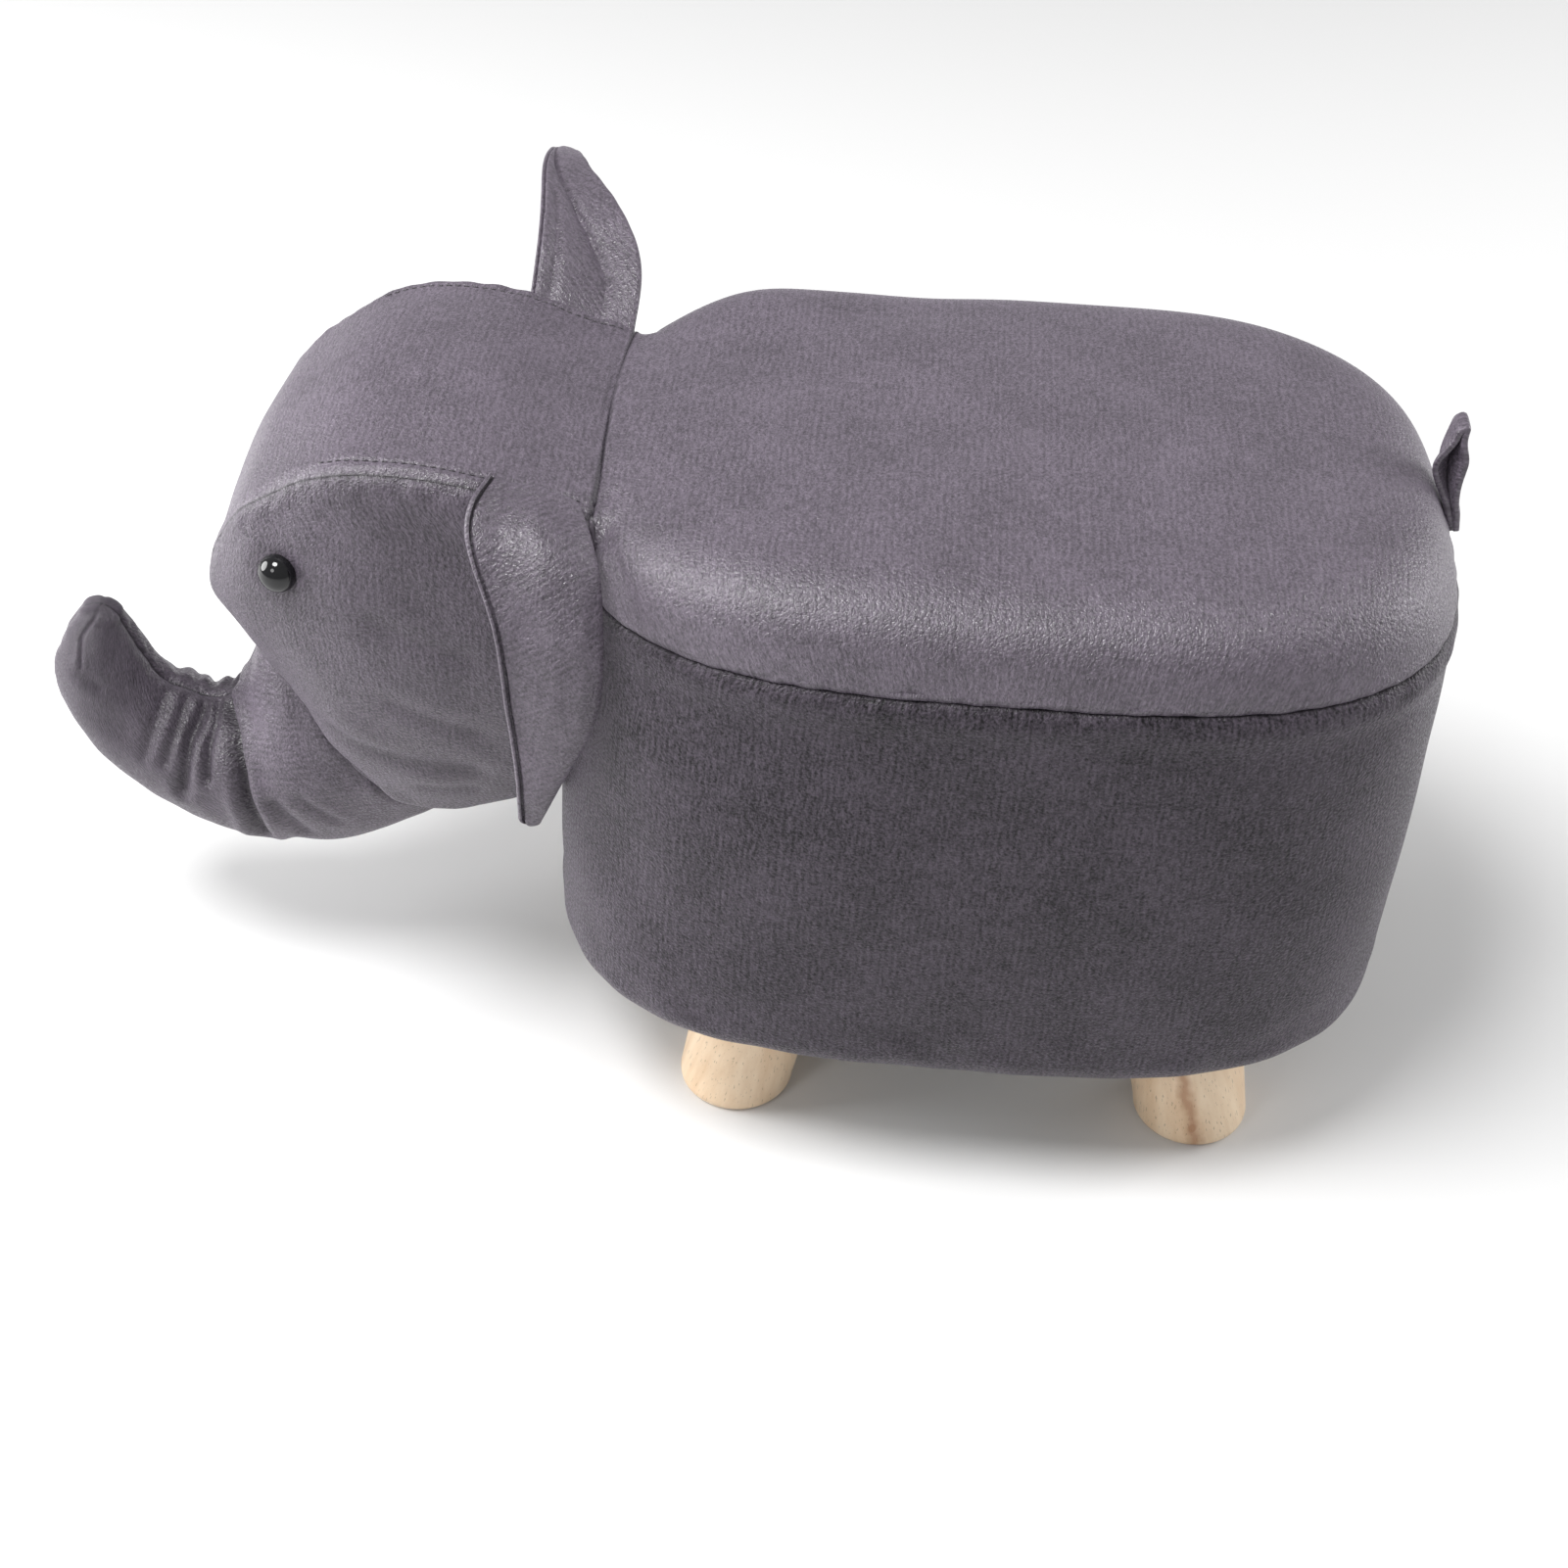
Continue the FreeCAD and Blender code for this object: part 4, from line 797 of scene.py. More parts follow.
def arc_points(first, middle, last, count):
    """Arc of a circle through three points of a plane."""
    (ax, ay), (bx, by), (cx, cy) = first, middle, last
    d = 2 * (ax * (by - cy) + bx * (cy - ay) + cx * (ay - by))
    if abs(d) < 1e-6:
        return np.linspace(first, last, count)
    a2, b2, c2 = ax * ax + ay * ay, bx * bx + by * by, cx * cx + cy * cy
    ux = (a2 * (by - cy) + b2 * (cy - ay) + c2 * (ay - by)) / d
    uy = (a2 * (cx - bx) + b2 * (ax - cx) + c2 * (bx - ax)) / d
    turns = np.unwrap([math.atan2(y - uy, x - ux) for x, y in (first, middle, last)])
    sweep = np.linspace(turns[0], turns[2], count)
    radius = math.hypot(ax - ux, ay - uy)
    return np.column_stack([ux + radius * np.cos(sweep), uy + radius * np.sin(sweep)])


def head_rows():
    """Forehead line and right cheek line of each station, as points across and up."""
    stations = head_stations(HEAD_ROWS)
    foreheads, cheeks = [], []
    for _, seam_z, seam_w, cheek_z, cheek_w, chin_z, chin_w in stations:
        fullness = seam_w / HEAD_HALF_WIDTH
        seam, chin = (seam_w, seam_z), (chin_w, chin_z)
        top, bottom = (0, seam_z + fullness * FOREHEAD_RISE), (0, chin_z - fullness * CHIN_SAG)
        forehead = arc_points((-seam_w, seam_z), top, seam, FOREHEAD_ARC)
        side = arc_points(seam, (cheek_w, cheek_z), chin, SIDE_ARC)
        under = arc_points(chin, bottom, (-chin_w, chin_z), CHIN_ARC)[1:CHIN_ARC // 2 + 1]
        foreheads.append(even(forehead, FOREHEAD_COLUMNS, COLUMN_CROWDING, ends=2))
        cheek = np.concatenate([side, under])
        cheeks.append(even(cheek, CHEEK_COLUMNS, COLUMN_CROWDING, ends=2))
    return stations[:, 0], np.array(foreheads), np.array(cheeks)


HEAD_X, FOREHEAD_ROWS, CHEEK_ROWS = head_rows()
print("head from x", round(HEAD_X[0]), "to", round(HEAD_X[-1]), "mm")

# %% Grids of the head panels
# Distance behind the neck seam and inset of the rows that roll in.
RIM = ((6.0, 9.0), (3.0, 7.0), (1.6, 5.0), (1.1, 3.4), (0.7, 2.1), (0.35, 1.2), (-0.1, 0.6), (-0.8, 0.22),
       (-1.8, 0.05))
HEAD_AXIS_HEIGHT = 215.0


def inward(points):
    """Direction from each point straight to the long axis of the head."""
    way = np.array([0.0, 0.0, HEAD_AXIS_HEIGHT]) - points
    way[..., 0] = 0
    return way / np.maximum(np.linalg.norm(way, axis=-1, keepdims=True), 1e-6)


def head_grid(rows):
    """Points of one head panel, with a rim that rolls in at the neck."""
    along = np.broadcast_to(HEAD_X[:, None, None], (*rows.shape[:2], 1))
    points = np.concatenate([along, rows], axis=2)
    rims = []
    for back, inset in RIM:
        rim = points[0] + inward(points[0]) * inset
        rim[:, 0] = NECK_X + back + 8 * ease((286 - points[0][:, 2]) / 16)
        rims.append(rim)
    clear = points[:, 0, 0] < NECK_X - 2.8
    points[0, :, 0] = NECK_X - 2.5
    return np.concatenate([np.array(rims), points[:1], points[clear]])


# %% Make the forehead
STITCH_INSET, STITCH_FRONT_X, STITCH_MIN_WIDTH = 7.2, -262.0, 40


def stitch_line(points, across, far):
    """Line of the topstitch beside one seam of the gusset."""
    line = []
    for row in range(len(RIM) - 1, len(points)):
        width = across[row, -1]
        if points[row, 0, 0] > STITCH_FRONT_X and width > STITCH_MIN_WIDTH:
            line.append(read_line(width - STITCH_INSET if far else STITCH_INSET, across[row], points[row]))
    return np.array(line)


def make_forehead():
    points = head_grid(FOREHEAD_ROWS)
    normals = outward_normals(points)
    across = row_distance(points)
    width = across[:, -1:]
    edge = np.minimum(across, width - across)
    x = points[..., 0]
    dip = seam_dip(edge) * ease((width - 4) / 30)
    stitch = 0.4 * hump(edge - STITCH_INSET, 1.8, -3.4) - 0.6 * hump(edge, 1.0, STITCH_INSET)
    stitch *= ease((x - STITCH_FRONT_X) / 25)
    pucker = ripple(points, 9.0, 24) * 0.24 * hump(edge, 5, 4)
    gather = ripple(points, 13.0, 25) * 0.3 * hump(x - NECK_X, 5, -8)
    soft = ripple(points, 70.0, 26) * 0.8 + ripple(points, 24.0, 27) * 0.15
    soft *= ease(edge / SEAM_REACH)
    points += inward(points) * (-dip)[..., None] + normals * (stitch + pucker + gather + soft)[..., None]
    # Painted shade in the two gusset seams and at the neck seam.
    painted_shade = hump(edge, SEAM_SHADE_WIDTH) + 0.9 * hump(np.minimum(x - NECK_X - 0.3, 0), 0.6) * (x > NECK_X - 6)
    weave = np.stack([column_distance(points), across - width / 2, painted_shade], axis=-1)
    lines = [stitch_line(points, across, far) for far in (False, True)]
    return shell_piece("forehead_gusset", points, weave), lines


forehead, stitch_lines = make_forehead()

# %% [markdown]
# Topstitch of the gusset.
# A row of stitches runs along each edge of the forehead gusset and holds its seam allowance down.
# A bump in the finish would blur at this size, so each stitch is a small rounded peg of thread.

# %% Make the topstitch
STITCH_PITCH, STITCH_LENGTH, STITCH_RADIUS = 3.6, 2.5, 0.34
# Place along the stitch and thickness there.
STITCH_PROFILE = ((0.0, 0.25), (0.12, 0.8), (0.35, 1.0), (0.65, 1.0), (0.88, 0.8), (1.0, 0.25))
STITCH_SIDES = 6


def stitch_peg(start, end):
    """Rings of one stitch, a peg with pinched ends."""
    lead = (end - start) / np.linalg.norm(end - start)
    side = np.cross(lead, [0.0, 0.0, 1.0])
    side /= np.linalg.norm(side)
    up = np.cross(side, lead)
    turns = np.arange(STITCH_SIDES)[:, None] * 2 * math.pi / STITCH_SIDES
    rim = (side * np.cos(turns) + up * np.sin(turns)) * STITCH_RADIUS
    return [start + (end - start) * share + up * (0.16 * thick) + rim * thick
            for share, thick in STITCH_PROFILE]


def make_topstitch():
    pegs, faces, rings = [], [], len(STITCH_PROFILE)
    for line in stitch_lines:
        along = lengths(line)
        for start in np.arange(2.0, along[-1] - 4, STITCH_PITCH):
            faces += tube_faces(rings, STITCH_SIDES, len(pegs) * rings * STITCH_SIDES)
            pegs.append(stitch_peg(*read_line([start, start + STITCH_LENGTH], along, line)))
    print("stitches", len(pegs))
    points = np.array(pegs).reshape(-1, 3)
    return mesh_piece("gusset_topstitch", points, faces, points[:, :2])


topstitch = make_topstitch()

# %% [markdown]
# Cheeks.
# Each cheek is one panel from the gusset seam down to the seam under the chin. Loose fibre sets
# unevenly, so a few long soft folds cross it, the cloth is drawn in round the eye, and it gathers
# at the seam of the trunk. The folds and the trunk's seam are lines read along the side.

# %% Make the cheeks
# Line of each fold along the side, its depth and its width.
CHEEK_FOLDS = (
    (((-239, 245), (-222, 238), (-204, 232)), 0.9, 4.5),
    (((-236, 205), (-221, 198), (-206, 192)), 1.1, 4.5),
    (((-266, 176), (-239, 168), (-209, 164)), 1.7, 5.0),
    (((-230, 148), (-211, 150)), 1.2, 4.0),
)
TRUNK_SEAM = ((-302, 200), (-291, 187), (-281, 168), (-270, 151), (-259, 136), (-248, 124), (-236, 117))
EYE_SPOT, EYE_RADIUS = (-277.0, 72.0, 259.0), 7.6


def at_trunk_seam(points, depth, width):
    """Distance from the trunk's seam, its valley on the side of the head, and the painted shade in it."""
    root = line_distance(points[..., [0, 2]], TRUNK_SEAM)
    faces_out = ease((points[..., 1] - 12) / 14)
    return root, crease(root, depth, width) * faces_out, 0.75 * hump(root, width / 2) * faces_out


def make_cheek(side, sign, seed):
    points = relax(head_grid(CHEEK_ROWS), 20)
    normals = outward_normals(points)
    down = row_distance(points)
    length = down[:, -1:]
    low = length - down
    full = ease((length - 8) / 40)
    top_dip = seam_dip(down) * ease((length - 4) / 30)
    pucker = ripple(points, 9.0, seed) * 0.28 * (hump(down, 5, 4) + hump(low, 6, 4))
    folds, dark = press_folds(points, CHEEK_FOLDS, 0.14, 0.6)
    root, trunk_seam, trunk_seam_shade = at_trunk_seam(points, 1.5, 2.6)
    gather = ripple(points, 16.0, seed + 1) * 0.7 * np.exp(-root / 12)
    soft = ripple(points, 75.0, seed + 2) * 1.2 + ripple(points, 28.0, seed + 3) * 0.3
    from_eye = np.linalg.norm(points - np.array(EYE_SPOT), axis=-1)
    pulled = -np.exp(-(from_eye / (EYE_RADIUS + 4)) ** 4)
    inner = ease(down / SEAM_REACH) * ease(low / SEAM_REACH)
    rise = (folds + soft + gather + trunk_seam + pulled) * inner
    rise += pucker * full + seam_dip(low, 1.1, 2.0) * full
    points += normals * rise[..., None] + inward(points) * (-top_dip)[..., None]
    # Painted shade in the two seams, the trunk's seam and the fold valleys.
    painted_shade = hump(down, SEAM_SHADE_WIDTH) + hump(low, SEAM_SHADE_WIDTH) + trunk_seam_shade + dark
    weave = np.stack([column_distance(points), -down, painted_shade], axis=-1)
    points[..., 1] *= sign
    return shell_piece("cheek_" + side + "_panel", points, weave)


cheek_left = make_cheek("left", -1, 31)
cheek_right = make_cheek("right", 1, 41)

# %% [markdown]
# Trunk.
# The trunk is two mirrored halves sewn along the middle and stuffed firm, so the cloth bunches on
# the inside of each bend and a deep crease crosses it where it turns up. It is a tube of rows
# between an upper and a lower line. The folds follow lines read along the side and are pressed in
# as valleys with a soft swell on each side.

# %% Stations of the trunk
TRUNK_ROOT_X, TRUNK_REACH, TRUNK_LOW, TRUNK_LIFT, TRUNK_HALF_WIDTH = -200.0, 200.0, 67.0, 110.0, 45.0
# Place along and height of the upper line, the same of the lower line, and half width.
TRUNK_MARKS = (
    (0.455, 1.236, 0.035, 0.530, 0.844),
    (0.525, 1.091, 0.110, 0.335, 0.956),
    (0.560, 0.936, 0.215, 0.190, 1.000),
    (0.595, 0.800, 0.330, 0.080, 0.956),
    (0.625, 0.695, 0.455, 0.035, 0.856),
    (0.650, 0.645, 0.590, 0.035, 0.784),
    (0.690, 0.636, 0.725, 0.090, 0.707),
    (0.735, 0.664, 0.860, 0.212, 0.631),
    (0.778, 0.700, 0.955, 0.409, 0.544),
    (0.803, 0.768, 1.005, 0.645, 0.478),
    (0.828, 0.877, 0.990, 0.873, 0.367),
    (0.850, 0.977, 0.940, 1.018, 0.211),
)
TRUNK_FOLDS = (
    (((-330, 142), (-327.4, 139.5), (-322.2, 136.7), (-317.4, 124.9), (-313.1, 100.7), (-312, 84)), 4.8, 2.9),
    (((-338, 139), (-337.8, 135.4), (-341.4, 129.3), (-343, 117.3), (-344.9, 108)), 2.8, 2.8),
    (((-332.4, 139), (-331.3, 133.5), (-332.7, 128.1), (-332.8, 116)), 2.2, 2.0),
    (((-345.3, 139), (-347.4, 132.9), (-351.5, 121)), 1.8, 2.6),
    (((-354.5, 140), (-357.5, 132), (-361, 122)), 1.2, 2.6),
    (((-303, 112), (-292, 92)), 1.6, 2.8),
    (((-289, 118), (-277, 104)), 1.1, 2.6),
    (((-377, 183), (-379.3, 179.9), (-385.1, 172.7), (-385.6, 160.9)), 1.0, 0.8),
    (((-386, 158), (-378, 152)), 0.8, 2.2),
)
TRUNK_ROWS, HALF_COLUMNS = 260, 150


def trunk_stations(count):
    marks = np.array(TRUNK_MARKS)
    rows = np.empty_like(marks)
    rows[:, 0:4:2] = TRUNK_ROOT_X - marks[:, 0:4:2] * TRUNK_REACH
    rows[:, 1:4:2] = TRUNK_LOW + marks[:, 1:4:2] * TRUNK_LIFT
    rows[:, 4] = marks[:, 4] * TRUNK_HALF_WIDTH
    middle = (rows[:, 0:2] + rows[:, 2:4]) / 2
    return lath(rows, count, measure=middle)


def trunk_grid():
    """Right half of the trunk: rows from root to tip, columns from the upper line to the lower."""
    turns = np.linspace(math.pi / 2, -math.pi / 2, HALF_COLUMNS)
    rows = []
    stations = trunk_stations(TRUNK_ROWS)
    for station in stations:
        upper, lower, width = station[:2], station[2:4], station[4]
        plane = (upper + lower) / 2 + np.sin(turns)[:, None] * (upper - lower) / 2
        row = np.column_stack([plane[:, 0], width * np.cos(turns), plane[:, 1]])
        rows.append(even(row, HALF_COLUMNS, 0.8, ends=2))
    last, before = stations[-1], stations[-4]
    lead = (last[:2] + last[2:4] - before[:2] - before[2:4]) / 2
    lead /= np.linalg.norm(lead)
    middle = rows[-1].mean(axis=0) * np.array([1.0, 0.0, 1.0])
    for turn in np.linspace(0, math.pi / 2, 12)[1:]:
        tip = middle + (rows[TRUNK_ROWS - 1] - middle) * max(math.cos(turn), 0.02)
        rows.append(tip + np.array([lead[0], 0, lead[1]]) * 5.5 * math.sin(turn))
    return np.array(rows)


# %% Make the trunk


def make_trunk(side, sign, seed):
    points = trunk_grid()
    normals = outward_normals(points)
    along, down = column_distance(points), row_distance(points)
    girth = down[:, -1:]
    low = girth - down
    side_share = ease(np.minimum(down, low) / 9)
    taper = ease(girth / 60)
    dip = seam_dip(down, 1.4, 2.0) + seam_dip(low, 1.2, 2.0)
    folds, dark = press_folds(points, TRUNK_FOLDS, 0.15, 1.2)
    bend = hump(down, 22) * ease((150 - along) / 40) * ease((along - 30) / 30)
    waves = np.sin(along / 3.4 + 2.5 * ripple(points, 40.0, seed))
    bunch = waves * 0.12 * bend * ripple(points, 30.0, seed + 7)
    root, trunk_seam, trunk_seam_shade = at_trunk_seam(points, 1.6, 2.8)
    gather = ripple(points, 15.0, seed + 1) * 0.7 * np.exp(-root / 16)
    pucker = ripple(points, 7.0, seed + 2) * 0.3 * (hump(down, 5, 4) + hump(low, 5, 4))
    soft = ripple(points, 55.0, seed + 3) * 0.9 + ripple(points, 20.0, seed + 4) * 0.3
    pressed = folds + soft + gather + bunch + trunk_seam
    points += normals * (dip * ease(girth / 24) + pucker * taper + pressed * side_share * taper)[..., None]
    # Painted shade in the two seams, the head seam and the fold valleys, and over the trunk past its deep
    # crease.
    painted_shade = hump(down, 0.7) + hump(low, 0.7) + trunk_seam_shade + dark * side_share
    painted_shade += 0.36 * ease((-311 - points[..., 0]) / 6)
    weave = np.stack([(along + down) * 0.7, (down - along) * 0.7, painted_shade], axis=-1)
    points[..., 1] = np.maximum(points[..., 1], 0) * sign
    return shell_piece("trunk_" + side + "_half", points, weave)


trunk_left = make_trunk("left", -1, 51)
trunk_right = make_trunk("right", 1, 61)

# %% [markdown]
# Ears.
# Each ear is an outer cloth and a lining, sewn round the edge and turned, and its root is rolled
# into the forehead seam. Cloth this thick bends in one broad curve and keeps its shape, so a sheet
# bent by its marks is truer than a limp simulated one. The lining is cut a little wider. On the
# hanging ear it rolls round the front edge, so the seam lies on the face of the ear beside a thin
# light strip. On the raised ear the seam lies at the edge.

# %% Marks of the ears
EAR_LENGTH, EAR_HALF_WIDTH, EAR_TUCK, EAR_TIP = 130.0, 25.0, 6.0, 4.0
EAR_ROOT = (-179.227, 70.88, 297.466)
EAR_ALONG = np.array([0.96319, 0.0, -0.26884])
EAR_UP = np.array([0.26884, 0.0, 0.96319])
# Distance out and rise of the ear, its middle along the root, and its half width.
HANGING_EAR = ((0.000, 0.000, 0.03, 0.78), (0.146, -0.045, 0.19, 1.00), (0.269, -0.209, 0.71, 0.85),
               (0.323, -0.425, 1.08, 0.70), (0.346, -0.675, 1.24, 0.36), (0.338, -0.846, 1.31, 0.17))
RAISED_EAR = ((0.000, 0.000, -0.03, 0.88), (0.192, 0.086, -0.20, 0.86), (0.400, 0.118, -0.57, 0.65),
              (0.608, 0.108, -0.93, 0.41), (0.823, 0.053, -1.05, 0.24), (1.000, -0.036, -1.08, 0.14))
# Place along the ear, then places across it with the height of the cloth there.
HANGING_FORM = (
    (0.00, (0.0, 1.5), (0.10, 1.5), (0.22, 0.0), (0.55, 2.2), (0.85, 1.2), (1.0, -0.4)),
    (0.08, (0.0, 3.2), (0.10, 3.0), (0.22, 0.2), (0.55, 3.2), (0.85, 2.4), (1.0, -0.4)),
    (0.22, (0.0, 1.0), (0.10, 0.7), (0.24, 0.9), (0.55, 3.6), (0.85, 2.8), (1.0, -0.6)),
    (0.50, (0.0, 0.6), (0.10, 0.0), (0.24, 0.9), (0.55, 3.2), (0.83, 2.6), (1.0, -1.2)),
    (0.75, (0.0, 0.4), (0.14, -0.1), (0.30, 0.7), (0.55, 1.6), (0.80, 1.2), (1.0, -0.8)),
    (1.00, (0.0, 0.0), (0.18, 0.2), (0.35, 0.4), (0.55, 0.5), (0.80, 0.4), (1.0, 0.0)))
RAISED_FORM = (
    (0.00, (0.0, 0.8), (0.10, 0.8), (0.17, -0.8), (0.24, 0.9), (0.69, -1.0), (0.77, 0.8), (1.0, 1.4)),
    (0.12, (0.0, 1.6), (0.10, 1.7), (0.17, -1.4), (0.24, 1.7), (0.69, -3.0), (0.76, 0.2), (1.0, 4.2)),
    (0.33, (0.0, 1.8), (0.10, 1.9), (0.17, -0.6), (0.24, 1.6), (0.47, -3.2), (0.54, 0.2), (1.0, 5.6)),
    (0.50, (0.0, 1.2), (0.09, 1.2), (0.15, 0.2), (0.20, 1.0), (0.32, -2.4), (0.40, 0.4), (1.0, 4.6)),
    (0.70, (0.0, 0.6), (0.05, 0.6), (0.08, 0.4), (0.12, 0.4), (0.18, -1.4), (0.28, 0.6), (1.0, 2.6)),
    (1.00, (0.0, 0.0), (0.05, 0.1), (0.10, 0.1), (0.15, 0.0), (0.20, -0.3), (0.35, 0.3), (1.0, 0.3)))
# Side, marks, form and first random seed of each ear.
EARS = {"left": (-1, HANGING_EAR, HANGING_FORM, 71), "right": (1, RAISED_EAR, RAISED_FORM, 81)}

# %% Cut and bend the cloths of an ear
EAR_ROWS, EAR_LINE, EAR_LOOP = 150, 101, 96
EAR_HALF_THICK, OUTER_LIFT, LINING_DROP = 0.7, 0.75, 0.85
EAR_STRIP, EDGE_STRIP, EAR_ROLL = 1.9, 1.2, 1.35


def ear_stations(marks):
    """Rows of out, rise, middle and half width, with a tucked root and a rounded tip."""
    marks = np.array(marks)
    rows = lath(marks, EAR_ROWS, measure=marks[:, :2] * EAR_LENGTH)
    first, step = rows[1] - rows[0], rows[-1] - rows[-2]
    tuck_pace, tip_pace = (np.linalg.norm(run[:2]) * EAR_LENGTH for run in (first, step))
    tucks = [rows[0] - first * (EAR_TUCK / tuck_pace) * share for share in (1.0, 0.6, 0.25)]
    ends = []
    for turn in np.linspace(0, math.pi / 2, 11)[1:]:
        end = rows[-1] + step * (EAR_TIP / tip_pace) * math.sin(turn)
        end[3] = rows[-1][3] * max(math.cos(turn), 0.06)
        ends.append(end)
    return np.concatenate([tucks, rows, ends])


def ear_form(form, share):
    """Height of the cloth across the ear at one share of its length, as a smooth line."""
    at = [row[0] for row in form]
    marks = np.array([row[1:] for row in form])
    place, height = (read_line(share, at, marks[..., k]) for k in (0, 1))
    return relax(np.interp(np.linspace(0, 1, EAR_LINE), place, height)[None], 14)[0]


def thick_line(path):
    """Closed outline round a line of points, with rounded ends."""
    along = lengths(path)
    near_end = np.clip(np.minimum(along, along[-1] - along) / EAR_HALF_THICK, 0, 1)
    thick = EAR_HALF_THICK * np.sqrt(np.clip(1 - (1 - near_end) ** 2, 0.0009, 1))[:, None]
    side = sideways(path)
    return np.concatenate([path + side * thick, (path - side * thick)[::-1]])


def cloth_path(layer, half, line, rolled):
    """Line of one cloth across the ear: across and up, from the rear edge to the front seam."""
    across = (np.linspace(0, 1, EAR_LINE) * 2 - 1) * half
    strip = min(EAR_STRIP if rolled else EDGE_STRIP, half * 0.45)
    roll = min(EAR_ROLL, half * 0.35)
    if layer == "outer":
        kept = across > -half + strip
        face = np.column_stack([across[kept], line[kept] + OUTER_LIFT])
        face[:, 1] -= 0.55 * hump(across[kept] - (-half + strip), 0.7)
        face[:, 1] -= 0.9 * hump(half - across[kept], 1.2)
        return face[::-1]
    back = np.column_stack([across, line - LINING_DROP])[::-1]
    back = back[back[:, 0] > -half + roll]
    middle = np.array([-half + roll, line[0] - LINING_DROP + roll])
    turns = np.linspace(-math.pi / 2, (-1.42 if rolled else -0.95) * math.pi, 18)
    curl = middle + np.column_stack([np.cos(turns), np.sin(turns)]) * roll
    return np.concatenate([back, curl])


# %% Make the ears


def make_ear(side, layer):
    sign, marks, form, seed = EARS[side]
    stations = ear_stations(marks)
    path = stations[:, :2] * EAR_LENGTH
    normal, along = sideways(path), lengths(path)
    rows, painted_shade = [], []
    for station, plane, up, distance in zip(stations, path, normal, along):
        middle, width = station[2] * EAR_HALF_WIDTH, station[3] * EAR_HALF_WIDTH
        share = np.clip((distance - EAR_TUCK) / (along[-1] - EAR_TUCK - 3), 0, 1)
        line = ear_form(form, share) * min(1.0, width / 8)
        loop = thick_line(even(cloth_path(layer, width, line, side == "left"), EAR_LOOP))
        rows.append(np.column_stack([middle + loop[:, 0], plane + up * loop[:, 1:]]))
        # Painted shade along the lining seam, strongest where it lies on the face of the hanging ear.
        seam_place = loop[:, 0] + width - min(EAR_STRIP, width * 0.45)
        seen = (loop[:, 1] > line[0] - 0.6) * (0.6 if side == "left" else 0.1)
        painted_shade.append(hump(seam_place, 0.4) * seen)
    local = np.array(rows)
    wave = ripple(local, 46.0, seed) * 0.7 * ease(along / 40)[:, None]
    fine = ripple(local, 15.0, seed + 1) * 0.2 * ease(along / 15)[:, None]
    local[..., 1:] += normal[:, None] * (wave + fine)[..., None]
    root = np.array(EAR_ROOT) * np.array([1, sign, 1])
    points = root + local[..., :1] * EAR_ALONG + local[..., 2:] * EAR_UP
    points[..., 1] += sign * local[..., 1]
    down = np.broadcast_to(along[:, None], local.shape[:2])
    weave = np.stack([(local[..., 0] + down) * 0.7, (down - local[..., 0]) * 0.7, np.array(painted_shade)], axis=-1)
    piece = ring_piece("ear_%s_%s_cloth" % (side, layer), points, weave)
    width = 2 * EAR_HALF_WIDTH * float(stations[:, 3].max()) * MM
    return piece, (width, float(along[-1]) * MM)


def half_area(piece):
    """Flat area of a thin sheet: half of its whole surface."""
    return sum(face.area for face in piece.data.polygons) / 2


ears = {(side, layer): make_ear(side, layer) for side in EARS for layer in ("outer", "lining")}

# %% [markdown]
# Tail.
# The tail is a strip with its edges turned in, folded over and sewn into the rear seam by both
# ends, which leaves a dark opening between its two leaves. It is a flat bar of cloth swept along
# the loop, narrow enough that simulation would add nothing.

# %% Make the tail
TAIL_ROOT = (171.0, 10.0, 261.5)
TAIL_LEAN, TAIL_HEIGHT, TAIL_WIDTH, TAIL_THICK = 13.0, 46.0, 12.0, 3.2
TAIL_ROWS, TAIL_SIDES = 180, 64
# Lean and height of the strip along its loop, as shares.
TAIL_MARKS = ((-0.02, 0.00), (0.11, 0.12), (0.36, 0.26), (0.73, 0.44), (0.97, 0.62), (0.72, 0.84),
              (0.16, 1.00), (-0.04, 0.86), (-0.06, 0.66), (0.02, 0.44), (-0.04, 0.22), (-0.16, 0.00))


def tail_path(spread):
    """Line of the strip; spread says how open the loop is, from 0 to 1."""
    path = lath(np.array(TAIL_MARKS) * np.array([-TAIL_LEAN, TAIL_HEIGHT]), TAIL_ROWS)
    middle = (path + path[::-1]) / 2
    away = path - middle
    size = np.linalg.norm(away, axis=1, keepdims=True)
    closed = np.minimum(size, TAIL_THICK / 2 - 0.1)
    opening = np.maximum(size - (TAIL_THICK - 1.8) / 2, closed)
    spread = spread * ease((0.96 - middle[:, 1:] / TAIL_HEIGHT) / 0.34)
    bent = middle + away / np.maximum(size, 1e-6) * (closed + (opening - closed) * spread)
    return relax(bent[None], 6)[0]


def make_tail():
    turns = np.linspace(0, 2 * math.pi, TAIL_SIDES + 1)[:-1]
    across = squared(np.cos(turns), 0.35) * TAIL_WIDTH / 2
    raised = squared(np.sin(turns), 0.6) * TAIL_THICK / 2
    columns = []
    for y, up in zip(across, raised):
        bent = tail_path(0.9 - 0.9 * ease((y / TAIL_WIDTH + 0.5) / 0.6))
        plane = bent + sideways(bent) * up
        columns.append(np.column_stack([plane[:, 0], np.full(len(plane), y), plane[:, 1]]))
    points = np.array(columns).transpose(1, 0, 2)
    along = lengths(tail_path(1.0))
    points[..., 1] += 0.5 * np.sin(along / 17)[:, None]
    points += np.array(TAIL_ROOT)
    y = np.broadcast_to(across, points.shape[:2])
    weave = np.stack([y, np.broadcast_to(along[:, None], y.shape)], axis=-1)
    return ring_piece("tail_strip", points, weave), (TAIL_WIDTH * MM, float(along[-1]) * MM)


tail, tail_flat = make_tail()

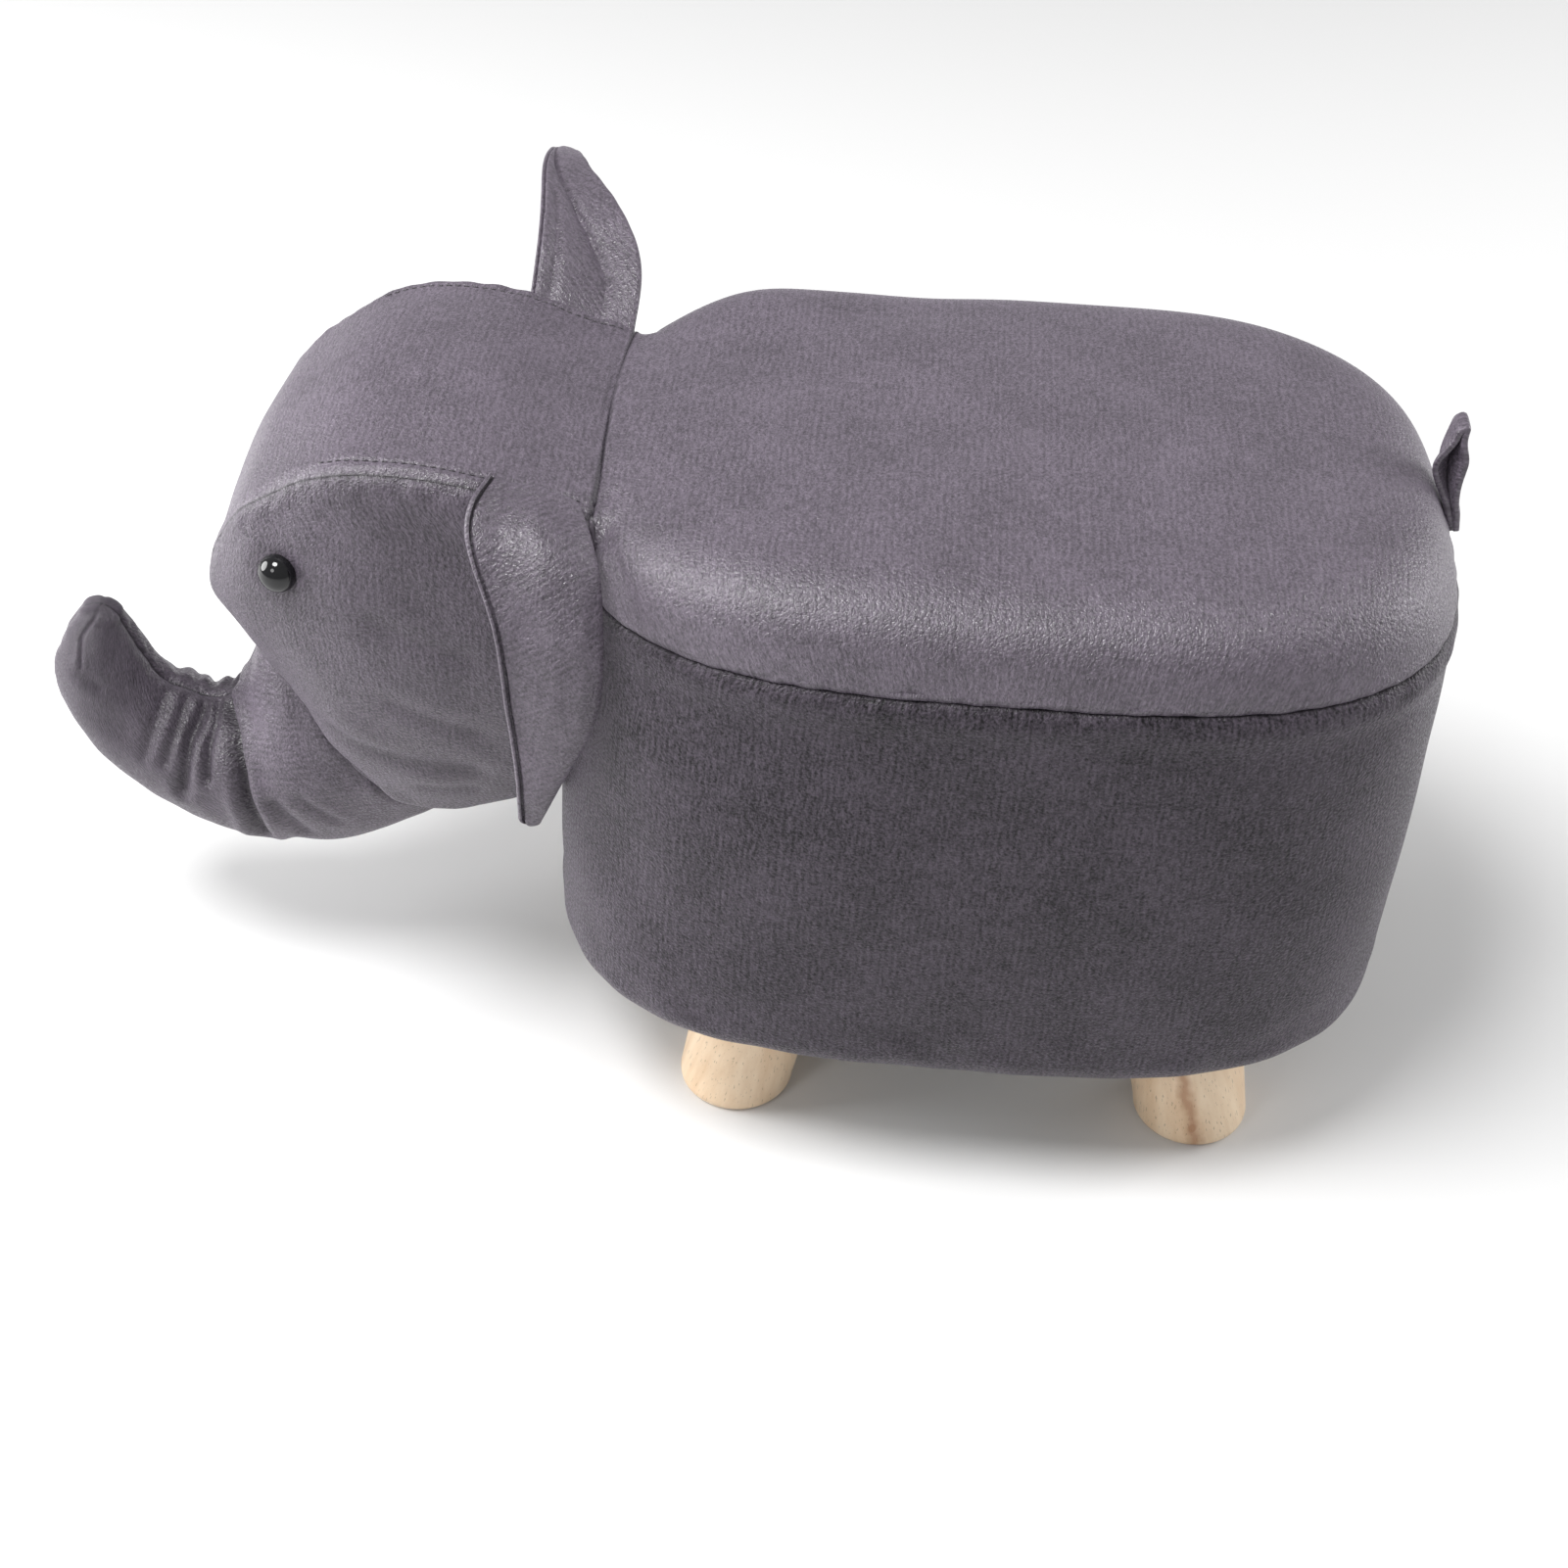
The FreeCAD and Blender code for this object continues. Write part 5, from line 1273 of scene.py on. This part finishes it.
# %% [markdown]
# Eyes.
# The eyes are black moulded domes on shanks. Their shine shows any facet, so they are turned here
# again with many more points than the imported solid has.

# %% Make the eyes
EYE_OUT = np.array([-0.322, -0.940, 0.115])
EYE_HEIGHT, EYE_SIDES = 6.6, 96


def make_eye(side, sign):
    """Dome turned about the line straight out of the cheek."""
    out = EYE_OUT * np.array([1, -sign, 1])
    out /= np.linalg.norm(out)
    middle = np.array(EYE_SPOT) * np.array([1, sign, 1]) + out * 0.6
    first = np.cross(out, [0.0, 0.0, 1.0])
    first /= np.linalg.norm(first)
    second = np.cross(out, first)
    profile = [(0.05, -3.0), (5.6, -3.0), (7.2, -2.2), (EYE_RADIUS, -0.8)]
    for turn in np.linspace(0.0, math.pi / 2 - 0.01, 40):
        profile.append((EYE_RADIUS * math.cos(turn), EYE_HEIGHT * math.sin(turn)))
    turns = np.linspace(0, 2 * math.pi, EYE_SIDES + 1)[:-1, None]
    rim = np.cos(turns) * first + np.sin(turns) * second
    rows = np.array([middle + rim * across + out * up for across, up in profile])
    return ring_piece("eye_" + side + "_dome", rows, np.zeros((*rows.shape[:2], 2)))


eyes = {side: make_eye(side, sign) for side, sign in (("left", -1), ("right", 1))}

# %% [markdown]
# Dust cover.
# A thin black cloth closes the underside. It is stapled near its edge and hangs a hair's breadth
# between the staples, so it is a disc of rows with a slight sag.

# %% Make the dust cover


def make_dust_cover():
    low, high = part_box("dust_cover")
    half_length, half_width = (high[0] - low[0]) / 2 / MM, (high[1] - low[1]) / 2 / MM
    middle_x, bottom, top = (high[0] + low[0]) / 2 / MM, low[2] / MM, high[2] / MM
    rows = []
    for share in np.linspace(1, 0.004, 60):
        x, y = oval(TURNS[::3], half_length * share, half_width * share)
        rows.append(np.column_stack([x + middle_x, y, np.full(len(x), bottom)]))
    points = np.array(rows)
    sag = ripple(points, 60.0, 91) * 0.25 * ease(np.linspace(0, 6, len(rows)))[:, None]
    points[..., 2] += 0.25 + sag
    upper = points[::-1] + np.array([0.0, 0.0, top - bottom - 0.3])
    both = np.concatenate([points, upper])
    piece = ring_piece("dust_cover_cloth", both, both[..., :2], True)
    return piece, (2 * half_width * MM, 2 * half_length * MM)


dust, dust_flat = make_dust_cover()

# %% [markdown]
# Which piece goes where.
# Each soft piece stands for its solids; all but the ears ride on the part that carries them. The tail
# turns whole with its seam. The ears stay fixed where they are built.

# %% Attach the pieces
SIDE_NODES = ("side_cover", "side_foam_front", "side_foam_rear", "side_foam_left", "side_foam_right")
# Piece, cloth, filling, and the nodes that it stands for.
PADDED = (
    (seat, CLOTH, 0.9, "seat_cover", "seat_foam"),
    (band, SHADED_BAND_CLOTH, 0.9, *SIDE_NODES),
    (forehead, CLOTH, 0.8, "forehead_panel", "head_filling"),
    (cheek_left, SHADED_CHEEK_CLOTH, 0.8, "cheek_left"),
    (cheek_right, SHADED_CHEEK_CLOTH, 0.8, "cheek_right"),
    (trunk_left, SHADED_TRUNK_CLOTH, 0.85, "trunk_left", "trunk_filling"),
    (trunk_right, SHADED_TRUNK_CLOTH, 0.85, "trunk_right"),
)


def attach(piece, body, slot, material, *nodes):
    piece.data.materials.append(material)
    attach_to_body(piece, body)
    if nodes:
        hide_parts(*nodes)


for piece, material, fill, *nodes in PADDED:
    attach(piece, "stool", "cloth", material, *nodes)
attach(topstitch, "stool", "cloth", THREAD)
for (side, layer), (piece, flat) in ears.items():
    piece.data.materials.append(CLOTH)
    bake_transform(piece)
    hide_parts("ear_%s_%s" % (side, layer))
    print("ear", side, layer, [round(v, 4) for v in flat], round(half_area(piece), 6))
attach(tail, "tail", "cloth", CLOTH, "tail_loop")
attach(dust, "stool", "dust_cloth", DUST, "dust_cover")
for side in ("left", "right"):
    attach(eyes[side], "stool", "eye_black", EYE, "eye_" + side)

# %% [markdown]
# Floor, light and camera.
# The photograph is a plain studio picture: pale floor, one broad lamp overhead towards the head, a
# soft box at each end and only a weak one before the stool, so the near side of the body stays
# dark and its two ends are bright. The camera comes from the photograph's own perspective.

# %% Floor
FLOOR_REACH, FLOOR_COLOUR = 6.0, (0.74, 0.74, 0.74, 1.0)


def make_floor():
    corners = [(x * FLOOR_REACH, y * FLOOR_REACH, 0.0) for x, y in ((-1, -1), (1, -1), (1, 1), (-1, 1))]
    mesh = bpy.data.meshes.new("floor")
    mesh.from_pydata(corners, [], [(0, 1, 2, 3)])
    mesh.materials.append(Finish("pale_floor").set(Base_Color=FLOOR_COLOUR, Roughness=0.8))
    add_object("floor", mesh)


make_floor()

# %% Lights
WORLD_LIGHT = 0.38
# Name, place, height of the aim, watts and width of each lamp.
LAMPS = (("overhead", (-0.62, -0.48, 1.90), 0.2, 36.0, 0.8),
         ("front_box", (-1.05, -1.40, 1.25), 0.2, 5.0, 0.6),
         ("left_box", (-1.85, 0.05, 0.75), 0.15, 35.0, 1.2),
         ("right_box", (1.75, 0.60, 0.75), 0.15, 23.0, 1.3))

for name, place, aim, power, size in LAMPS:
    data = bpy.data.lights.new(name, "AREA")
    data.energy, data.shape, data.size = power, "DISK", size
    light = add_object(name, data)
    light.location = place
    light.rotation_euler = (Vector((0.0, 0.0, aim)) - Vector(place)).to_track_quat("-Z", "Y").to_euler()
world = bpy.data.worlds.new("studio")
world.use_nodes = True
backdrop = world.node_tree.nodes["Background"]
backdrop.inputs[0].default_value, backdrop.inputs[1].default_value = (1.0, 1.0, 1.0, 1.0), WORLD_LIGHT
bpy.context.scene.world = world
bpy.context.scene.view_settings.view_transform = "Standard"
print("lamps", len(LAMPS))

# %% Camera
CAMERA_LENS, SENSOR_WIDTH = 56.215, 36.0
CAMERA_PLACE = (-0.04222, -0.80544, 0.81006)
CAMERA_RIGHT = (0.9966, 0.0785, 0.0263)
CAMERA_UP = (-0.0714, 0.6527, 0.7542)
CAMERA_BACK = (0.042, -0.7535, 0.6561)


def make_camera():
    data = bpy.data.cameras.new("camera")
    data.lens, data.sensor_width, data.clip_start = CAMERA_LENS, SENSOR_WIDTH, 0.01
    camera = add_object("camera", data)
    turn = Matrix((CAMERA_RIGHT, CAMERA_UP, CAMERA_BACK)).transposed().to_4x4()
    camera.matrix_world = Matrix.Translation(CAMERA_PLACE) @ turn
    bpy.context.scene.camera = camera


make_camera()
